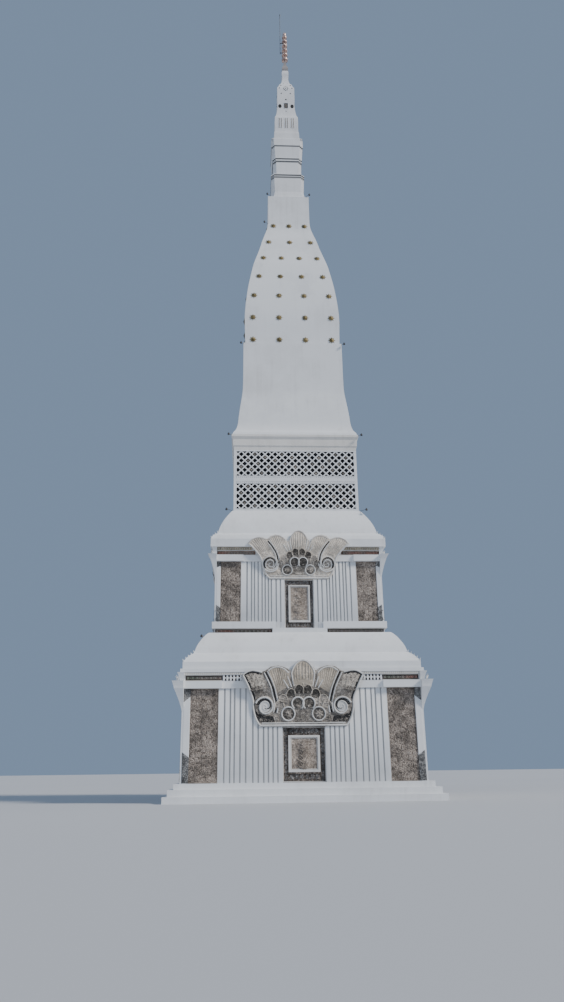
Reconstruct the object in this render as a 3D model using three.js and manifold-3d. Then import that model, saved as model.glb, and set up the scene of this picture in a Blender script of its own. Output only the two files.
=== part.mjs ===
// A tall square stupa of plastered brick: two storeys with false doors, a lattice storey,
// a bottle-shaped shaft and a spire that carries a tiered umbrella.
// Sizes are those of the real building in millimetres, and SCALE makes the half-size model.
import * as THREE from "three";
import { mergeVertices } from "three/addons/utils/BufferGeometryUtils.js";
import Module from "manifold-3d";

const wasm = await Module();
wasm.setup();

const SCALE = 1 / 2;
const QUARTER = Math.PI / 2;
const SIDES = ["front", "right", "back", "left"];
const CORNERS = ["back_right", "back_left", "front_left", "front_right"];

// Heights run from the ground, and half-widths from the tower's axis.
const PLINTH_TOP = 1000;
const PLINTH_STEPS = [
  [7700, 0],
  [7700, 350],
  [7450, 350],
  [7450, 700],
  [7150, 700],
  [7150, PLINTH_TOP],
];

// A storey stands on foot, ends at head, and has a carved pier at each corner.
const LOWER = {
  name: "lower",
  foot: PLINTH_TOP,
  head: 6050,
  half: 6850,
  wall: 6780,
  strip: 350,
  pier: 2050,
  grooves: [1480, 1740, 2000, 2260, 2560, 2860, 3250, 3570, 3890, 4130, 4450],
  flareFoot: 4800,
  flare: 450,
  door: { half: 1200, foot: PLINTH_TOP, head: 3930 },
  inset: { half: 860, foot: 1450, head: 3480 },
  slab: 7050,
};
const UPPER = {
  name: "upper",
  foot: 10150,
  head: 13950,
  half: 5200,
  wall: 5140,
  strip: 300,
  pier: 1600,
  grooves: [1150, 1420, 1720, 1900, 2100, 2290, 2530, 2760, 2940, 3220],
  flareFoot: 12950,
  flare: 260,
  door: { half: 900, foot: 9750, head: 12800 },
  inset: { half: 640, foot: 10120, head: 12430 },
  slab: 5380,
};
const GROOVE = 70;
const GROOVE_DEPTH = 120;
const FLARE_CURVE = 1.3;
const HORN_ROOT = 90;
const SLAB_STEP = 120;
const PIER_HORN_STEPS = 5;
const CORNICE_HORN_STEPS = 3;
const DOOR_RECESS = 260;
const DOOR_THICKNESS = 180;
const INSET_BORDER = 80;
const INSET_PROUD = 50;

// The scrolled gable over a door: half of its outline from the apex down to the middle of its foot,
// and its face from the side as [distance from the axis, height].
const SCROLL_PROUD = 50;
const LOWER_PEDIMENT = {
  outline: [
    [0, 7620],
    [300, 7530],
    [500, 7300],
    [720, 6980],
    [980, 7150],
    [1400, 7270],
    [1850, 7210],
    [2180, 6980],
    [2420, 6920],
    [2860, 7030],
    [3220, 6950],
    [3480, 6770],
    [3310, 6480],
    [3160, 6190],
    [2960, 5830],
    [2840, 5450],
    [2820, 4980],
    [2730, 4480],
    [2590, 4150],
    [2410, 3930],
    [0, 3930],
  ],
  face: [
    [6860, 3930],
    [6930, 5600],
    [7120, 6050],
    [7160, 6600],
    [7180, 7620],
  ],
  volute: { x: 2160, z: 5060, radius: 600 },
  fan: { z: 4950, radius: 1300 },
};
const UPPER_PEDIMENT = {
  outline: [
    [0, 15880],
    [250, 15800],
    [450, 15560],
    [700, 15080],
    [900, 15380],
    [1150, 15540],
    [1450, 15590],
    [1750, 15500],
    [1960, 15300],
    [2280, 15420],
    [2620, 15430],
    [2960, 15280],
    [3190, 15010],
    [2880, 14780],
    [2580, 14430],
    [2380, 14180],
    [2280, 13900],
    [2270, 13560],
    [2150, 13130],
    [1800, 12800],
    [0, 12800],
  ],
  face: [
    [5210, 12800],
    [5270, 13650],
    [5420, 13950],
    [5500, 14600],
    [5570, 14850],
    [5620, 15880],
  ],
  volute: { x: 1740, z: 13700, radius: 520 },
  fan: { z: 13650, radius: 1080 },
};

// Square mouldings are lists of [half-width, height] from the bottom up.
const LOWER_CORNICE = {
  slabTop: 6450,
  middle: 4600,
  horn: 570,
  mouldings: [
    [6850, 6450],
    [6850, 6800],
    [6950, 6800],
    [6950, 6950],
    [7000, 6950],
    [7000, 7150],
  ],
  post: { low: 150, high: 300, top: 6950 },
};
const UPPER_CORNICE = {
  slabTop: 14350,
  middle: 3450,
  horn: 450,
  mouldings: [
    [5200, 14350],
    [5200, 14650],
    [5320, 14650],
    [5320, 14850],
  ],
  post: { low: 100, high: 220, top: 14850 },
};
const LOWER_ROOF = [
  [6880, 7150],
  [6880, 7550],
  [6580, 7920],
  [6290, 8140],
  [6230, 8320],
  [6170, 8500],
  [6080, 8690],
  [5970, 8880],
  [5840, 9080],
  [5680, 9280],
  [5500, 9450],
];
const UPPER_ROOF = [
  [5500, 14850],
  [5500, 15350],
  [5380, 15600],
  [5080, 15850],
  [4980, 16200],
  [4870, 16500],
  [4740, 16780],
  [4580, 17070],
  [4400, 17360],
  [4200, 17650],
];
const UPPER_BASE = {
  foot: 9450,
  frieze: 5180,
  slabFoot: 9750,
  slab: 5330,
  plinth: { half: 1660, face: 5350 },
  ribbed: 1430,
};

const LATTICE = {
  foot: 17650,
  head: 22000,
  half: 4130,
  window: 3980,
  windowFoot: 17800,
  railFoot: 19600,
  railHead: 20200,
  windowHead: 21950,
  recess: 140,
  screen: 60,
};
const LATTICE_CORNICE = [
  [4130, 22000],
  [4150, 22250],
  [4200, 22320],
  [4220, 22780],
  [4310, 22950],
  [4310, 23100],
];
const SHAFT_FOOT = [
  [4250, 23100],
  [4180, 23320],
  [4050, 23520],
  [3950, 23800],
  [3880, 24150],
  [3830, 24700],
  [3750, 25400],
  [3650, 26150],
  [3570, 26900],
  [3550, 28500],
  [3550, 30700],
];
const BOTTLE = [
  [3420, 30700],
  [3440, 31600],
  [3470, 32800],
  [3430, 33700],
  [3350, 34600],
  [3210, 35800],
  [3030, 36900],
  [2830, 38000],
  [2600, 38900],
  [2350, 39850],
  [2120, 40850],
  [1900, 41650],
  [1730, 42350],
  [1665, 42950],
  [1650, 45600],
];
const NECK_STEP = 120;
const NECK_BLOCK = [
  [1500, 45600],
  [1390, 45900],
  [1310, 46400],
  [1360, 47850],
  [1380, 47900],
  [1380, 48000],
  [1340, 48000],
  [1340, 48100],
  [1380, 48100],
  [1380, 48200],
];
const NECK_SLAB = [
  [1150, 48200],
  [1180, 49650],
  [1225, 49700],
  [1225, 49850],
  [1190, 49850],
  [1190, 49950],
  [1240, 49950],
  [1240, 50100],
  [1310, 51200],
  [1340, 51250],
  [1340, 52000],
];
const SPIRE = [
  [1300, 52000],
  [1080, 52300],
  [1050, 52900],
  [1000, 53200],
  [990, 54700],
  [900, 54950],
  [780, 55700],
  [740, 56400],
  [760, 57000],
  [750, 57700],
  [740, 58350],
  [620, 58650],
  [540, 58950],
  [390, 59250],
  [290, 59700],
  [260, 60150],
  [300, 60500],
  [290, 60750],
  [190, 61150],
  [130, 61500],
  [90, 62200],
];
const UMBRELLA = {
  foot: 62200,
  stem: 90,
  tiers: 6,
  first: 150,
  pitch: 600,
  widest: 290,
  narrowest: 170,
  drop: 170,
};
// A cup of the umbrella from its underside up, as [share of its reach, share of its drop].
const CUP = [
  [0, 0.6],
  [1, 0],
  [1, 0.3],
  [0.5, 1],
  [0, 1.6],
];
const SPIKE = { radius: 45, length: 150 };
const ROD = { x: -400, radius: 24, foot: 63250, head: 68300, clamps: [63400, 64600], clampSize: 60 };
const CLEARANCE = 0.6;

const STUCCO = new THREE.MeshStandardMaterial({ color: 0xdedfe2, roughness: 0.85, metalness: 0 });
const RELIEF = new THREE.MeshStandardMaterial({ color: 0x8a7d78, roughness: 0.95, metalness: 0 });
const SCROLL = new THREE.MeshStandardMaterial({ color: 0xb9b3ad, roughness: 0.9, metalness: 0 });
const GILT = new THREE.MeshStandardMaterial({ color: 0xc79a6b, roughness: 0.35, metalness: 1 });
const STEEL = new THREE.MeshStandardMaterial({ color: 0x6f7378, roughness: 0.5, metalness: 1 });

const stupa = new THREE.Group();

function solidOf(geometry) {
  const bare = geometry.clone();
  bare.deleteAttribute("normal");
  bare.deleteAttribute("uv");
  const merged = mergeVertices(bare, 1e-3);
  return new wasm.Manifold(
    new wasm.Mesh({
      numProp: 3,
      vertProperties: merged.attributes.position.array,
      triVerts: new Uint32Array(merged.index.array),
    }),
  );
}

function geometryOf(solid) {
  const mesh = solid.getMesh();
  const geometry = new THREE.BufferGeometry();
  geometry.setAttribute("position", new THREE.BufferAttribute(mesh.vertProperties, 3));
  geometry.setIndex(new THREE.BufferAttribute(mesh.triVerts, 1));
  geometry.computeVertexNormals();
  return geometry;
}

function addNode(name, solid, material, turn = 0) {
  const mesh = new THREE.Mesh(geometryOf(solid), material);
  mesh.name = name;
  mesh.rotation.z = turn * QUARTER;
  stupa.add(mesh);
}

function join(solids) {
  return solids.reduce((whole, piece) => whole.add(piece));
}

// A block between two corners.
function block(x0, x1, y0, y1, z0, z1) {
  const box = new THREE.BoxGeometry(x1 - x0, y1 - y0, z1 - z0);
  return solidOf(box.translate((x0 + x1) / 2, (y0 + y1) / 2, (z0 + z1) / 2));
}

// An outline in plan, raised from one height to another.
function raised(points, z0, z1) {
  const shape = new THREE.Shape(points.map(([x, y]) => new THREE.Vector2(x, y)));
  const body = new THREE.ExtrudeGeometry(shape, { depth: z1 - z0, bevelEnabled: false });
  return solidOf(body.translate(0, 0, z0));
}

// An upright outline in x and z that faces the front, from its face back to its bed.
function upright(shape, face, bed) {
  const options = { depth: face - bed, bevelEnabled: false, curveSegments: 4 };
  const body = new THREE.ExtrudeGeometry(shape, options).rotateX(QUARTER);
  return solidOf(body.translate(0, -bed, 0));
}

// A profile in depth and height that faces the front, drawn out to both sides of the middle.
function crosswise(profile, half) {
  const shape = new THREE.Shape(profile.map(([depth, z]) => new THREE.Vector2(depth, z)));
  const body = new THREE.ExtrudeGeometry(shape, { depth: 2 * half, bevelEnabled: false });
  return solidOf(snapped(body.rotateX(QUARTER).rotateZ(-QUARTER).translate(half, 0, 0)));
}

// A square tower with level courses, from a list of [half-width, height], narrower by inX and inY.
function squareTower(profile, inX = 0, inY = 0) {
  const foot = profile[0][1];
  const head = profile[profile.length - 1][1];
  const points = [
    new THREE.Vector2(0, foot),
    ...profile.map(([half, z]) => new THREE.Vector2(half * Math.SQRT2, z)),
    new THREE.Vector2(0, head),
  ];
  const geometry = snapped(new THREE.LatheGeometry(points, 4).rotateX(QUARTER).rotateZ(QUARTER / 2));
  const place = geometry.attributes.position;
  for (let i = 0; i < place.count; i += 1) {
    const [x, y] = [place.getX(i), place.getY(i)];
    place.setXY(i, x - Math.sign(x) * inX, y - Math.sign(y) * inY);
  }
  return solidOf(geometry);
}

// The same tower with two steps in each corner.
function redentedTower(profile, step) {
  return join([
    squareTower(profile, 2 * step, 0),
    squareTower(profile, step, step),
    squareTower(profile, 0, 2 * step),
  ]);
}

// The same geometry with each coordinate on the nearest tenth of a millimetre.
function snapped(geometry) {
  const values = geometry.attributes.position.array;
  values.forEach((value, i) => {
    values[i] = Math.round(value * 10) / 10;
  });
  return geometry;
}

// The same point on each of the four sides, turned a quarter each time.
function turned([x, y], turn) {
  return [
    [x, y],
    [-y, x],
    [-x, -y],
    [y, -x],
  ][turn];
}

function fourSides(front) {
  return [0, 1, 2, 3].flatMap((turn) => front.map((point) => turned(point, turn)));
}

// The storey's core in plan: a cross with ribs on each arm and a recess for the door.
function coreOutline({ half, pier, wall, door, grooves }) {
  const inner = half - pier;
  const right = [
    [door.half, -wall + DOOR_RECESS],
    [door.half, -wall],
    ...grooves.flatMap((x) => [
      [x - GROOVE / 2, -wall],
      [x - GROOVE / 2, -wall + GROOVE_DEPTH],
      [x + GROOVE / 2, -wall + GROOVE_DEPTH],
      [x + GROOVE / 2, -wall],
    ]),
    [inner, -wall],
  ];
  const left = right.map(([x, y]) => [-x, y]).reverse();
  return fourSides([...left, ...right, [inner, -inner]]);
}

// A corner pier has a plastered strip on its edge and a sunk field for the carving on each face.
function cornerPier({ half, pier, wall, strip, foot, head, flareFoot, flare }) {
  const inner = half - pier;
  const edge = half - strip;
  const shaft = raised(
    [
      [inner, inner],
      [wall, inner],
      [wall, edge],
      [half, edge],
      [half, half],
      [edge, half],
      [edge, wall],
      [inner, wall],
    ],
    foot,
    head,
  );
  const horn = cornerHorn(half - HORN_ROOT, half, [0, flare], flareFoot, head, PIER_HORN_STEPS);
  return shaft.add(horn);
}

// A square horn on the corner whose outer edge curves out while its inner edge stays upright.
function cornerHorn(edge, half, [low, high], foot, head, steps) {
  const curve = Array.from({ length: steps + 1 }, (_, i) => {
    const t = i / steps;
    return [half + low + (high - low) * t ** FLARE_CURVE, foot + (head - foot) * t];
  });
  const shape = new THREE.Shape([
    new THREE.Vector2(edge, foot),
    ...curve.map(([x, z]) => new THREE.Vector2(x, z)),
    new THREE.Vector2(edge, head),
  ]);
  const depth = half + high - edge;
  const alongY = new THREE.ExtrudeGeometry(shape, { depth, bevelEnabled: false })
    .rotateX(QUARTER)
    .translate(0, edge + depth, 0);
  const alongX = alongY.clone().rotateZ(QUARTER).scale(-1, 1, 1);
  return solidOf(alongY).intersect(solidOf(flipped(alongX)));
}

// A mirrored geometry's triangles, turned to face out again.
function flipped(geometry) {
  const bare = geometry.index ? geometry.toNonIndexed() : geometry.clone();
  const values = bare.attributes.position.array;
  for (let i = 0; i < values.length; i += 9) {
    for (let k = 0; k < 3; k += 1) {
      [values[i + 3 + k], values[i + 6 + k]] = [values[i + 6 + k], values[i + 3 + k]];
    }
  }
  return bare;
}

// A cornice: a slab that steps back over the ribs and has horned corners, a frieze and fillets,
// and a short flared post on each corner.
function cornice({ slab, wall, half, flare, head }, { slabTop, middle, horn, mouldings, post }) {
  const pieces = [
    squareTower([
      [slab, head],
      [slab, slabTop],
    ]),
    squareTower(mouldings),
  ];
  const cuts = [];
  const edge = half - HORN_ROOT;
  for (let turn = 0; turn < 4; turn += 1) {
    const rotation = [...new THREE.Matrix4().makeRotationZ(turn * QUARTER).elements];
    const horns = cornerHorn(edge, half, [flare, horn], head, slabTop, CORNICE_HORN_STEPS);
    const posts = cornerHorn(edge, half, [post.low, post.high], slabTop, post.top, CORNICE_HORN_STEPS);
    pieces.push(horns.transform(rotation), posts.transform(rotation));
    const cut = block(-middle, middle, -slab - 1, -wall - SLAB_STEP, head - 1, slabTop);
    cuts.push(cut.transform(rotation));
  }
  return join(pieces).subtract(join(cuts));
}

// The gable's side view: its face, and a bed that lies on the wall, the cornice and the roof's lip.
function gableProfile(storey, cornice, roof, { outline, face }, proud) {
  const foot = outline[outline.length - 1][1];
  const apex = outline[0][1];
  const bed = [
    [storey.wall, foot],
    [storey.wall, storey.head],
    [storey.wall + SLAB_STEP, storey.head],
    [storey.wall + SLAB_STEP, cornice.slabTop],
    ...cornice.mouldings,
    roof[0],
    [roof[0][0], apex],
  ];
  return [...face.map(([depth, z]) => [depth + proud, z]), ...bed.reverse()];
}

function pediment(storey, cornice, roof, gable) {
  const { outline, face, volute, fan } = gable;
  const half = outline.slice(1, -1);
  const other = half.map(([x, z]) => [-x, z]).reverse();
  const points = [outline[0], ...half, ...other];
  const front = face[face.length - 1][0] + 2 * SCROLL_PROUD;
  const plain = new THREE.Shape(points.map(([x, z]) => new THREE.Vector2(x, z)));
  const fields = [-1, 1].map((side) => {
    const disc = new THREE.Shape();
    disc.absarc(side * volute.x, volute.z, volute.radius, 0, 2 * Math.PI);
    return upright(disc, front, storey.wall);
  });
  const lunette = new THREE.Shape();
  lunette.absarc(0, fan.z, fan.radius, 0, Math.PI);
  fields.push(upright(lunette, front, storey.wall));
  const reach = Math.max(...outline.map(([x]) => x)) + 1;
  const low = crosswise(gableProfile(storey, cornice, roof, gable, 0), reach);
  const high = crosswise(gableProfile(storey, cornice, roof, gable, SCROLL_PROUD), reach);
  const { door, wall, head } = storey;
  return join([
    upright(plain, front, storey.wall).intersect(low),
    join(fields).intersect(high),
    block(-door.half, door.half, -wall, -wall + DOOR_RECESS, door.head, head),
  ]);
}

function rectangle(half, foot, head) {
  return [
    new THREE.Vector2(-half, foot),
    new THREE.Vector2(half, foot),
    new THREE.Vector2(half, head),
    new THREE.Vector2(-half, head),
  ];
}

// A false door: a carved leaf with a raised border.
function falseDoor({ wall, door, inset }) {
  const bed = wall - DOOR_RECESS;
  const face = bed + DOOR_THICKNESS;
  const leaf = block(-door.half, door.half, -face, -bed, door.foot, door.head);
  const border = new THREE.Shape(rectangle(inset.half, inset.foot, inset.head));
  const inside = inset.half - INSET_BORDER;
  border.holes.push(
    new THREE.Path(rectangle(inside, inset.foot + INSET_BORDER, inset.head - INSET_BORDER)),
  );
  return leaf.add(upright(border, face + INSET_PROUD, face - 20));
}

function addStorey(storey, cornice, roof, gable) {
  addNode(storey.name + "_storey", raised(coreOutline(storey), storey.foot, storey.head), STUCCO);
  const pier = cornerPier(storey);
  CORNERS.forEach((corner, turn) => {
    addNode(storey.name + "_pier_" + corner, pier, RELIEF, turn);
  });
  const door = falseDoor(storey);
  const scrolls = pediment(storey, cornice, roof, gable);
  SIDES.forEach((side, turn) => {
    addNode(storey.name + "_door_" + side, door, RELIEF, turn);
    addNode(storey.name + "_pediment_" + side, scrolls, SCROLL, turn);
  });
}

// The upper storey's base: a sunk frieze under a slab, cut back where the door's plinth stands.
function upperBase() {
  const { foot, frieze, slabFoot, slab, plinth, ribbed } = UPPER_BASE;
  const { wall, door } = UPPER;
  const body = squareTower([
    [frieze, foot],
    [frieze, slabFoot],
    [slab, slabFoot],
    [slab, UPPER.foot],
  ]);
  const plinths = [];
  const cuts = [];
  for (let turn = 0; turn < 4; turn += 1) {
    const rotation = [...new THREE.Matrix4().makeRotationZ(turn * QUARTER).elements];
    const step = block(-plinth.half, plinth.half, -plinth.face, -wall, foot, slabFoot);
    const ribs = block(-ribbed, ribbed, -slab - 1, -wall, slabFoot, UPPER.foot + 1);
    const bed = block(-door.half, door.half, -wall - 1, -wall + DOOR_RECESS, slabFoot, UPPER.foot + 1);
    plinths.push(step.transform(rotation));
    cuts.push(ribs.add(bed).transform(rotation));
  }
  return join([body, ...plinths]).subtract(join(cuts));
}

// The lattice storey has one wide recess on each side.
function latticeStorey() {
  const { foot, head, half, window, windowFoot, windowHead, recess } = LATTICE;
  const body = block(-half, half, -half, half, foot, head);
  const cuts = [];
  for (let turn = 0; turn < 4; turn += 1) {
    const cut = block(-window, window, -half - 1, -half + recess, windowFoot, windowHead);
    cuts.push(cut.transform([...new THREE.Matrix4().makeRotationZ(turn * QUARTER).elements]));
  }
  return body.subtract(join(cuts));
}

// Two rows of lattice on one backing, with a level rail between them.
function latticeScreen() {
  const { half, window, windowFoot, railFoot, railHead, windowHead, recess, screen } = LATTICE;
  const backing = block(-window, window, -half + screen, -half + recess, windowFoot, windowHead);
  const rail = block(-window, window, -half, -half + recess, railFoot, railHead);
  return backing.add(rail);
}

// The umbrella: cup-shaped rings on a stem, each a little narrower than the one below.
function umbrella() {
  const { foot, stem, tiers, first, pitch, widest, narrowest, drop } = UMBRELLA;
  const points = [new THREE.Vector2(0, foot), new THREE.Vector2(stem, foot)];
  for (let i = 0; i < tiers; i += 1) {
    const radius = widest + ((narrowest - widest) * i) / (tiers - 1);
    CUP.forEach(([out, up]) => {
      const rim = foot + first + i * pitch;
      points.push(new THREE.Vector2(stem + (radius - stem) * out, rim + drop * up));
    });
  }
  const head = foot + first + tiers * pitch;
  points.push(new THREE.Vector2(SPIKE.radius, head - SPIKE.length));
  points.push(new THREE.Vector2(0, head));
  return solidOf(new THREE.LatheGeometry(points, 16).rotateX(QUARTER));
}

// The lightning rod stands beside the umbrella on two short clamps.
function lightningRod() {
  const { x, radius, foot, head, clamps, clampSize } = ROD;
  const bar = new THREE.CylinderGeometry(radius, radius, head - foot, 8)
    .rotateX(QUARTER)
    .translate(x, 0, (foot + head) / 2);
  const arms = clamps.map((z) => {
    const half = clampSize / 2;
    return block(x - half, -UMBRELLA.stem - CLEARANCE, -half, half, z - half, z + half);
  });
  return join([solidOf(bar), ...arms]);
}

addNode("base_plinth", squareTower(PLINTH_STEPS), STUCCO);
addStorey(LOWER, LOWER_CORNICE, LOWER_ROOF, LOWER_PEDIMENT);
addNode("lower_cornice", cornice(LOWER, LOWER_CORNICE), STUCCO);
addNode("lower_roof", squareTower(LOWER_ROOF), STUCCO);
addNode("upper_base", upperBase(), STUCCO);
addStorey(UPPER, UPPER_CORNICE, UPPER_ROOF, UPPER_PEDIMENT);
addNode("upper_cornice", cornice(UPPER, UPPER_CORNICE), STUCCO);
addNode("upper_roof", squareTower(UPPER_ROOF), STUCCO);
addNode("lattice_storey", latticeStorey(), STUCCO);
const screen = latticeScreen();
SIDES.forEach((side, turn) => addNode("lattice_screen_" + side, screen, STUCCO, turn));
addNode("lattice_cornice", squareTower(LATTICE_CORNICE), STUCCO);
addNode("shaft_foot", squareTower(SHAFT_FOOT), STUCCO);
addNode("bottle_shaft", squareTower(BOTTLE), STUCCO);
addNode("neck_block", redentedTower(NECK_BLOCK, NECK_STEP), STUCCO);
addNode("neck_slab", redentedTower(NECK_SLAB, NECK_STEP), STUCCO);
addNode("spire", squareTower(SPIRE), STUCCO);
addNode("umbrella", umbrella(), GILT);
addNode("lightning_rod", lightningRod(), STEEL);

stupa.scale.setScalar(SCALE);

export default stupa;
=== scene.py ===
import math
import random
from contextlib import contextmanager
from types import SimpleNamespace

import bmesh
import bpy
from mathutils import Matrix, Vector
from mathutils.geometry import interpolate_bezier


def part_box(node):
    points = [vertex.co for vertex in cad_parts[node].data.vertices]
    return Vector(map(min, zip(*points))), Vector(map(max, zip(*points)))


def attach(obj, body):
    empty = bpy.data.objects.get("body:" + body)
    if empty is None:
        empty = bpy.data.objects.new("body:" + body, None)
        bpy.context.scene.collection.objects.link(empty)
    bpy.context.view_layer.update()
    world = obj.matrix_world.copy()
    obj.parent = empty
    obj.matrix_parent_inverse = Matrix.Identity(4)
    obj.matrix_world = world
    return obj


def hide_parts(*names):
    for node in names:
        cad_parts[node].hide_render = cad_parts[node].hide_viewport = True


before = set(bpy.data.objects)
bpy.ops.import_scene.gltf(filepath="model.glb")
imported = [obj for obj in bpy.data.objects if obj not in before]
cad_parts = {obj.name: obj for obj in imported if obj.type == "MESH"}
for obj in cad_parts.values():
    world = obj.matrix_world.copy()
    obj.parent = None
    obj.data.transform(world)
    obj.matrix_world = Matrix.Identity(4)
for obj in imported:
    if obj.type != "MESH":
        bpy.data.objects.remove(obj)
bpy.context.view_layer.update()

# Sizes are the real tower's, in metres from its axis and from the ground. Each piece is made at that
# size and brought to the half-size model when it is settled.
MODEL = 0.5
SIDES = ("front", "right", "back", "left")
QUARTER = math.pi / 2
ACROSS = Matrix.Scale(-1, 4, (1, 0, 0))

# The stages drawn anew here, by the name of the CAD node each stands for.
STAGES = {}

# The photograph's view: where the eye stands, how it is turned, and its lens.
EYE = (-3.17, -50.71, 1.6)
PITCH, YAW, ROLL = math.radians(19.77), math.radians(2.741), math.radians(-0.71)
LENS = 26.98

# The piers: the carved field's inner and outer edge, the pier's own edge, the field's foot and head, how
# many tendrils fill it, and where the slants that end the white band meet its inner and outer edge.
PIERS = {
    "lower": SimpleNamespace(
        field=(4.80, 6.39), edge=6.76, foot=1.02, head=6.04, cells=(5, 16),
        band_top=(5.60, 5.31), band_foot=(2.35, 2.62),
    ),
    "upper": SimpleNamespace(
        field=(3.60, 4.86), edge=5.11, foot=10.16, head=13.94, cells=(4, 12),
        band_top=(13.69, 13.57), band_foot=(11.04, 11.20),
    ),
}
CARVING_DEPTH = 0.02

# How far out each storey's wall is, how far its reeds stand out and how much their edges are rounded.
# The reeds beside the upper door go down past the base slab: how far out, and to what height.
STOREY_WALLS = {"lower": 6.78, "upper": 5.14}
REED, REED_EDGE = 0.055, 0.0495
DOOR_REEDS, DOOR_REED_FOOT = 1.45, 9.76

# The lattice: the rail between its two rows, the line cut in the rail, and its bars, edges and beads.
LATTICE_RAIL = (19.62, 20.12)
RAIL_LINE = (19.72, 19.75)
BAR_WIDTH, BAR_DEPTH = 0.08, 0.07
WINDOW_EDGE = 0.03
BEAD_PITCH = 0.13

# Rows of rosettes on a face of the shaft: height, how many, and how far out the last one is.
ROSETTES = (
    (31.05, 4, 2.86),
    (32.9, 4, 2.87),
    (34.9, 4, 2.79),
    (36.8, 4, 2.41),
    (38.8, 4, 2.07),
    (40.65, 3, 1.64),
    (42.6, 3, 1.24),
)

# Painted shadow lines under the neck's fillets, from height to height.
NECK_SHADOW_LINES = ((47.77, 47.90), (47.98, 48.12), (49.58, 49.70), (49.84, 49.96), (51.14, 51.25))

# The spire's thin grooves: how far they are from its middle, and from height to height. Each is a grey
# strip of painted shade between two white lines.
SPIRE_SLOTS = (0.09, 0.44, 0.61)
SLOT_SPAN = (53.5, 54.6)
# Dots by distance from the middle, height and radius; the ring of dots by its middle's height, its reach
# to the side and upwards, and their radius.
SPIRE_DOTS = (
    (0.42, 58.80, 0.06), (0.55, 58.32, 0.06), (0.40, 57.69, 0.06), (0.18, 59.19, 0.035),
    (0.0, 56.98, 0.075), (0.0, 55.60, 0.05), (0.0, 58.30, 0.055),
)
DOT_RING = (58.30, 0.18, 0.25, 0.055)
# The two tall round windows: half as far apart, height, half-width, and how much taller than wide.
SPIRE_WINDOWS = (0.53, 56.20, 0.155, 1.6)
# The dark cap on the spire's tip, by reach and height.
SPIRE_CAP = (
    (0.24, 60.98), (0.27, 61.08), (0.275, 61.22), (0.25, 61.38),
    (0.19, 61.56), (0.14, 61.75), (0.12, 61.95), (0.105, 62.22),
)

# The umbrella's tiers: reach, height over its foot, and how tall each is.
UMBRELLA_TIERS = (
    (0.28, 0.26, 0.30),
    (0.27, 0.82, 0.30),
    (0.26, 1.38, 0.30),
    (0.25, 1.94, 0.30),
    (0.24, 2.50, 0.30),
    (0.215, 3.02, 0.46),
)
# Its stem by reach and height, over its foot and then from its tip.
STEM_FOOT = ((0.0, 0.0), (0.088, 0.0), (0.05, 0.2))
STEM_TIP = ((0.05, -0.6), (0.09, -0.45), (0.06, -0.2), (0.0, 0.0))
# The rod's knob by reach and height from its tip.
ROD_KNOB = ((0.0, -0.25), (0.03, -0.25), (0.05, -0.12), (0.03, -0.03), (0.0, 0.0))

# Lamps outside the front corners: height, and how far out from the axis on both sides. The lone ones
# are on the left. Then the lamp by reach and height, and how far its arm goes in from it.
LAMPS = ((17.65, 4.57), (23.05, 4.50), (30.62, 3.72), (45.8, 1.71))
LONE_LAMPS = ((9.2, 5.90), (42.8, 1.96))
LAMP = ((0.0, -0.1), (0.07, -0.1), (0.08, -0.03), (0.04, 0.05), (0.0, 0.07))
LAMP_ARM = 0.75

# The studio's suns: turn, tilt, strength, spread and colour.
LIGHTS = (
    ("key_light", 66, 54, 3.3, 12, (1.0, 0.95, 0.88)),
    ("front_fill", -24, 58, 0.5, 60, (0.82, 0.90, 1.0)),
)


def clear():
    bpy.ops.object.select_all(action="DESELECT")


def pick(*pieces):
    clear()
    for piece in pieces:
        piece.select_set(True)
    bpy.context.view_layer.objects.active = pieces[0]


def added(operator, **measures):
    """The new object that an operator makes."""
    clear()
    operator(**measures)
    return bpy.context.active_object


def select_whole():
    bpy.ops.mesh.select_all(action="SELECT")


@contextmanager
def shaping(piece, kind="VERT"):
    """The piece in edit mode, with all of it selected."""
    pick(piece)
    bpy.ops.object.mode_set(mode="EDIT")
    bpy.ops.mesh.select_mode(type=kind)
    select_whole()
    yield
    bpy.ops.object.mode_set(mode="OBJECT")


def choose(piece, kind, wanted):
    """Selects only the corners or edges of the piece that pass the test."""
    bpy.ops.mesh.select_all(action="DESELECT")
    mesh = bmesh.from_edit_mesh(piece.data)
    for part in mesh.verts if kind == "VERT" else mesh.edges:
        part.select_set(wanted(part))
    mesh.select_flush_mode()
    bmesh.update_edit_mesh(piece.data)


def bevelled(piece, width, wanted=None, segments=1):
    """The piece with its edges rounded, or only those that pass the test."""
    with shaping(piece, "EDGE"):
        if wanted:
            choose(piece, "EDGE", wanted)
        bpy.ops.mesh.bevel(offset=width, segments=segments, affect="EDGES")
    return piece


def stretch(x, y, z, centre=(0, 0, 0)):
    bpy.ops.transform.resize(value=(x, y, z), center_override=centre)


def draw_out(x, y, z):
    bpy.ops.mesh.extrude_region_move(TRANSFORM_OT_translate={"value": (x, y, z)})


def turn_outwards():
    """Turns all faces of the piece in edit mode outwards."""
    select_whole()
    bpy.ops.mesh.normals_make_consistent(inside=False)


def paint(piece, finish):
    piece.data.materials.clear()
    piece.data.materials.append(finish)
    return piece


def moved(x, y, z):
    return Matrix.Translation((x, y, z))


def turned(angle, axis="Y"):
    return Matrix.Rotation(angle, 4, axis)


def spot(x, y, z, turn=0.0, size=1.0, flip=False):
    """A place on the front: moved, turned in the wall's plane and scaled."""
    return moved(x, y, z) @ turned(turn) @ Matrix.Diagonal((-size if flip else size, size, size, 1))


def placed(piece, place):
    piece.data.transform(place)
    return piece


def together(pieces):
    if len(pieces) > 1:
        pick(*pieces)
        bpy.ops.object.join()
    return pieces[0]


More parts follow.
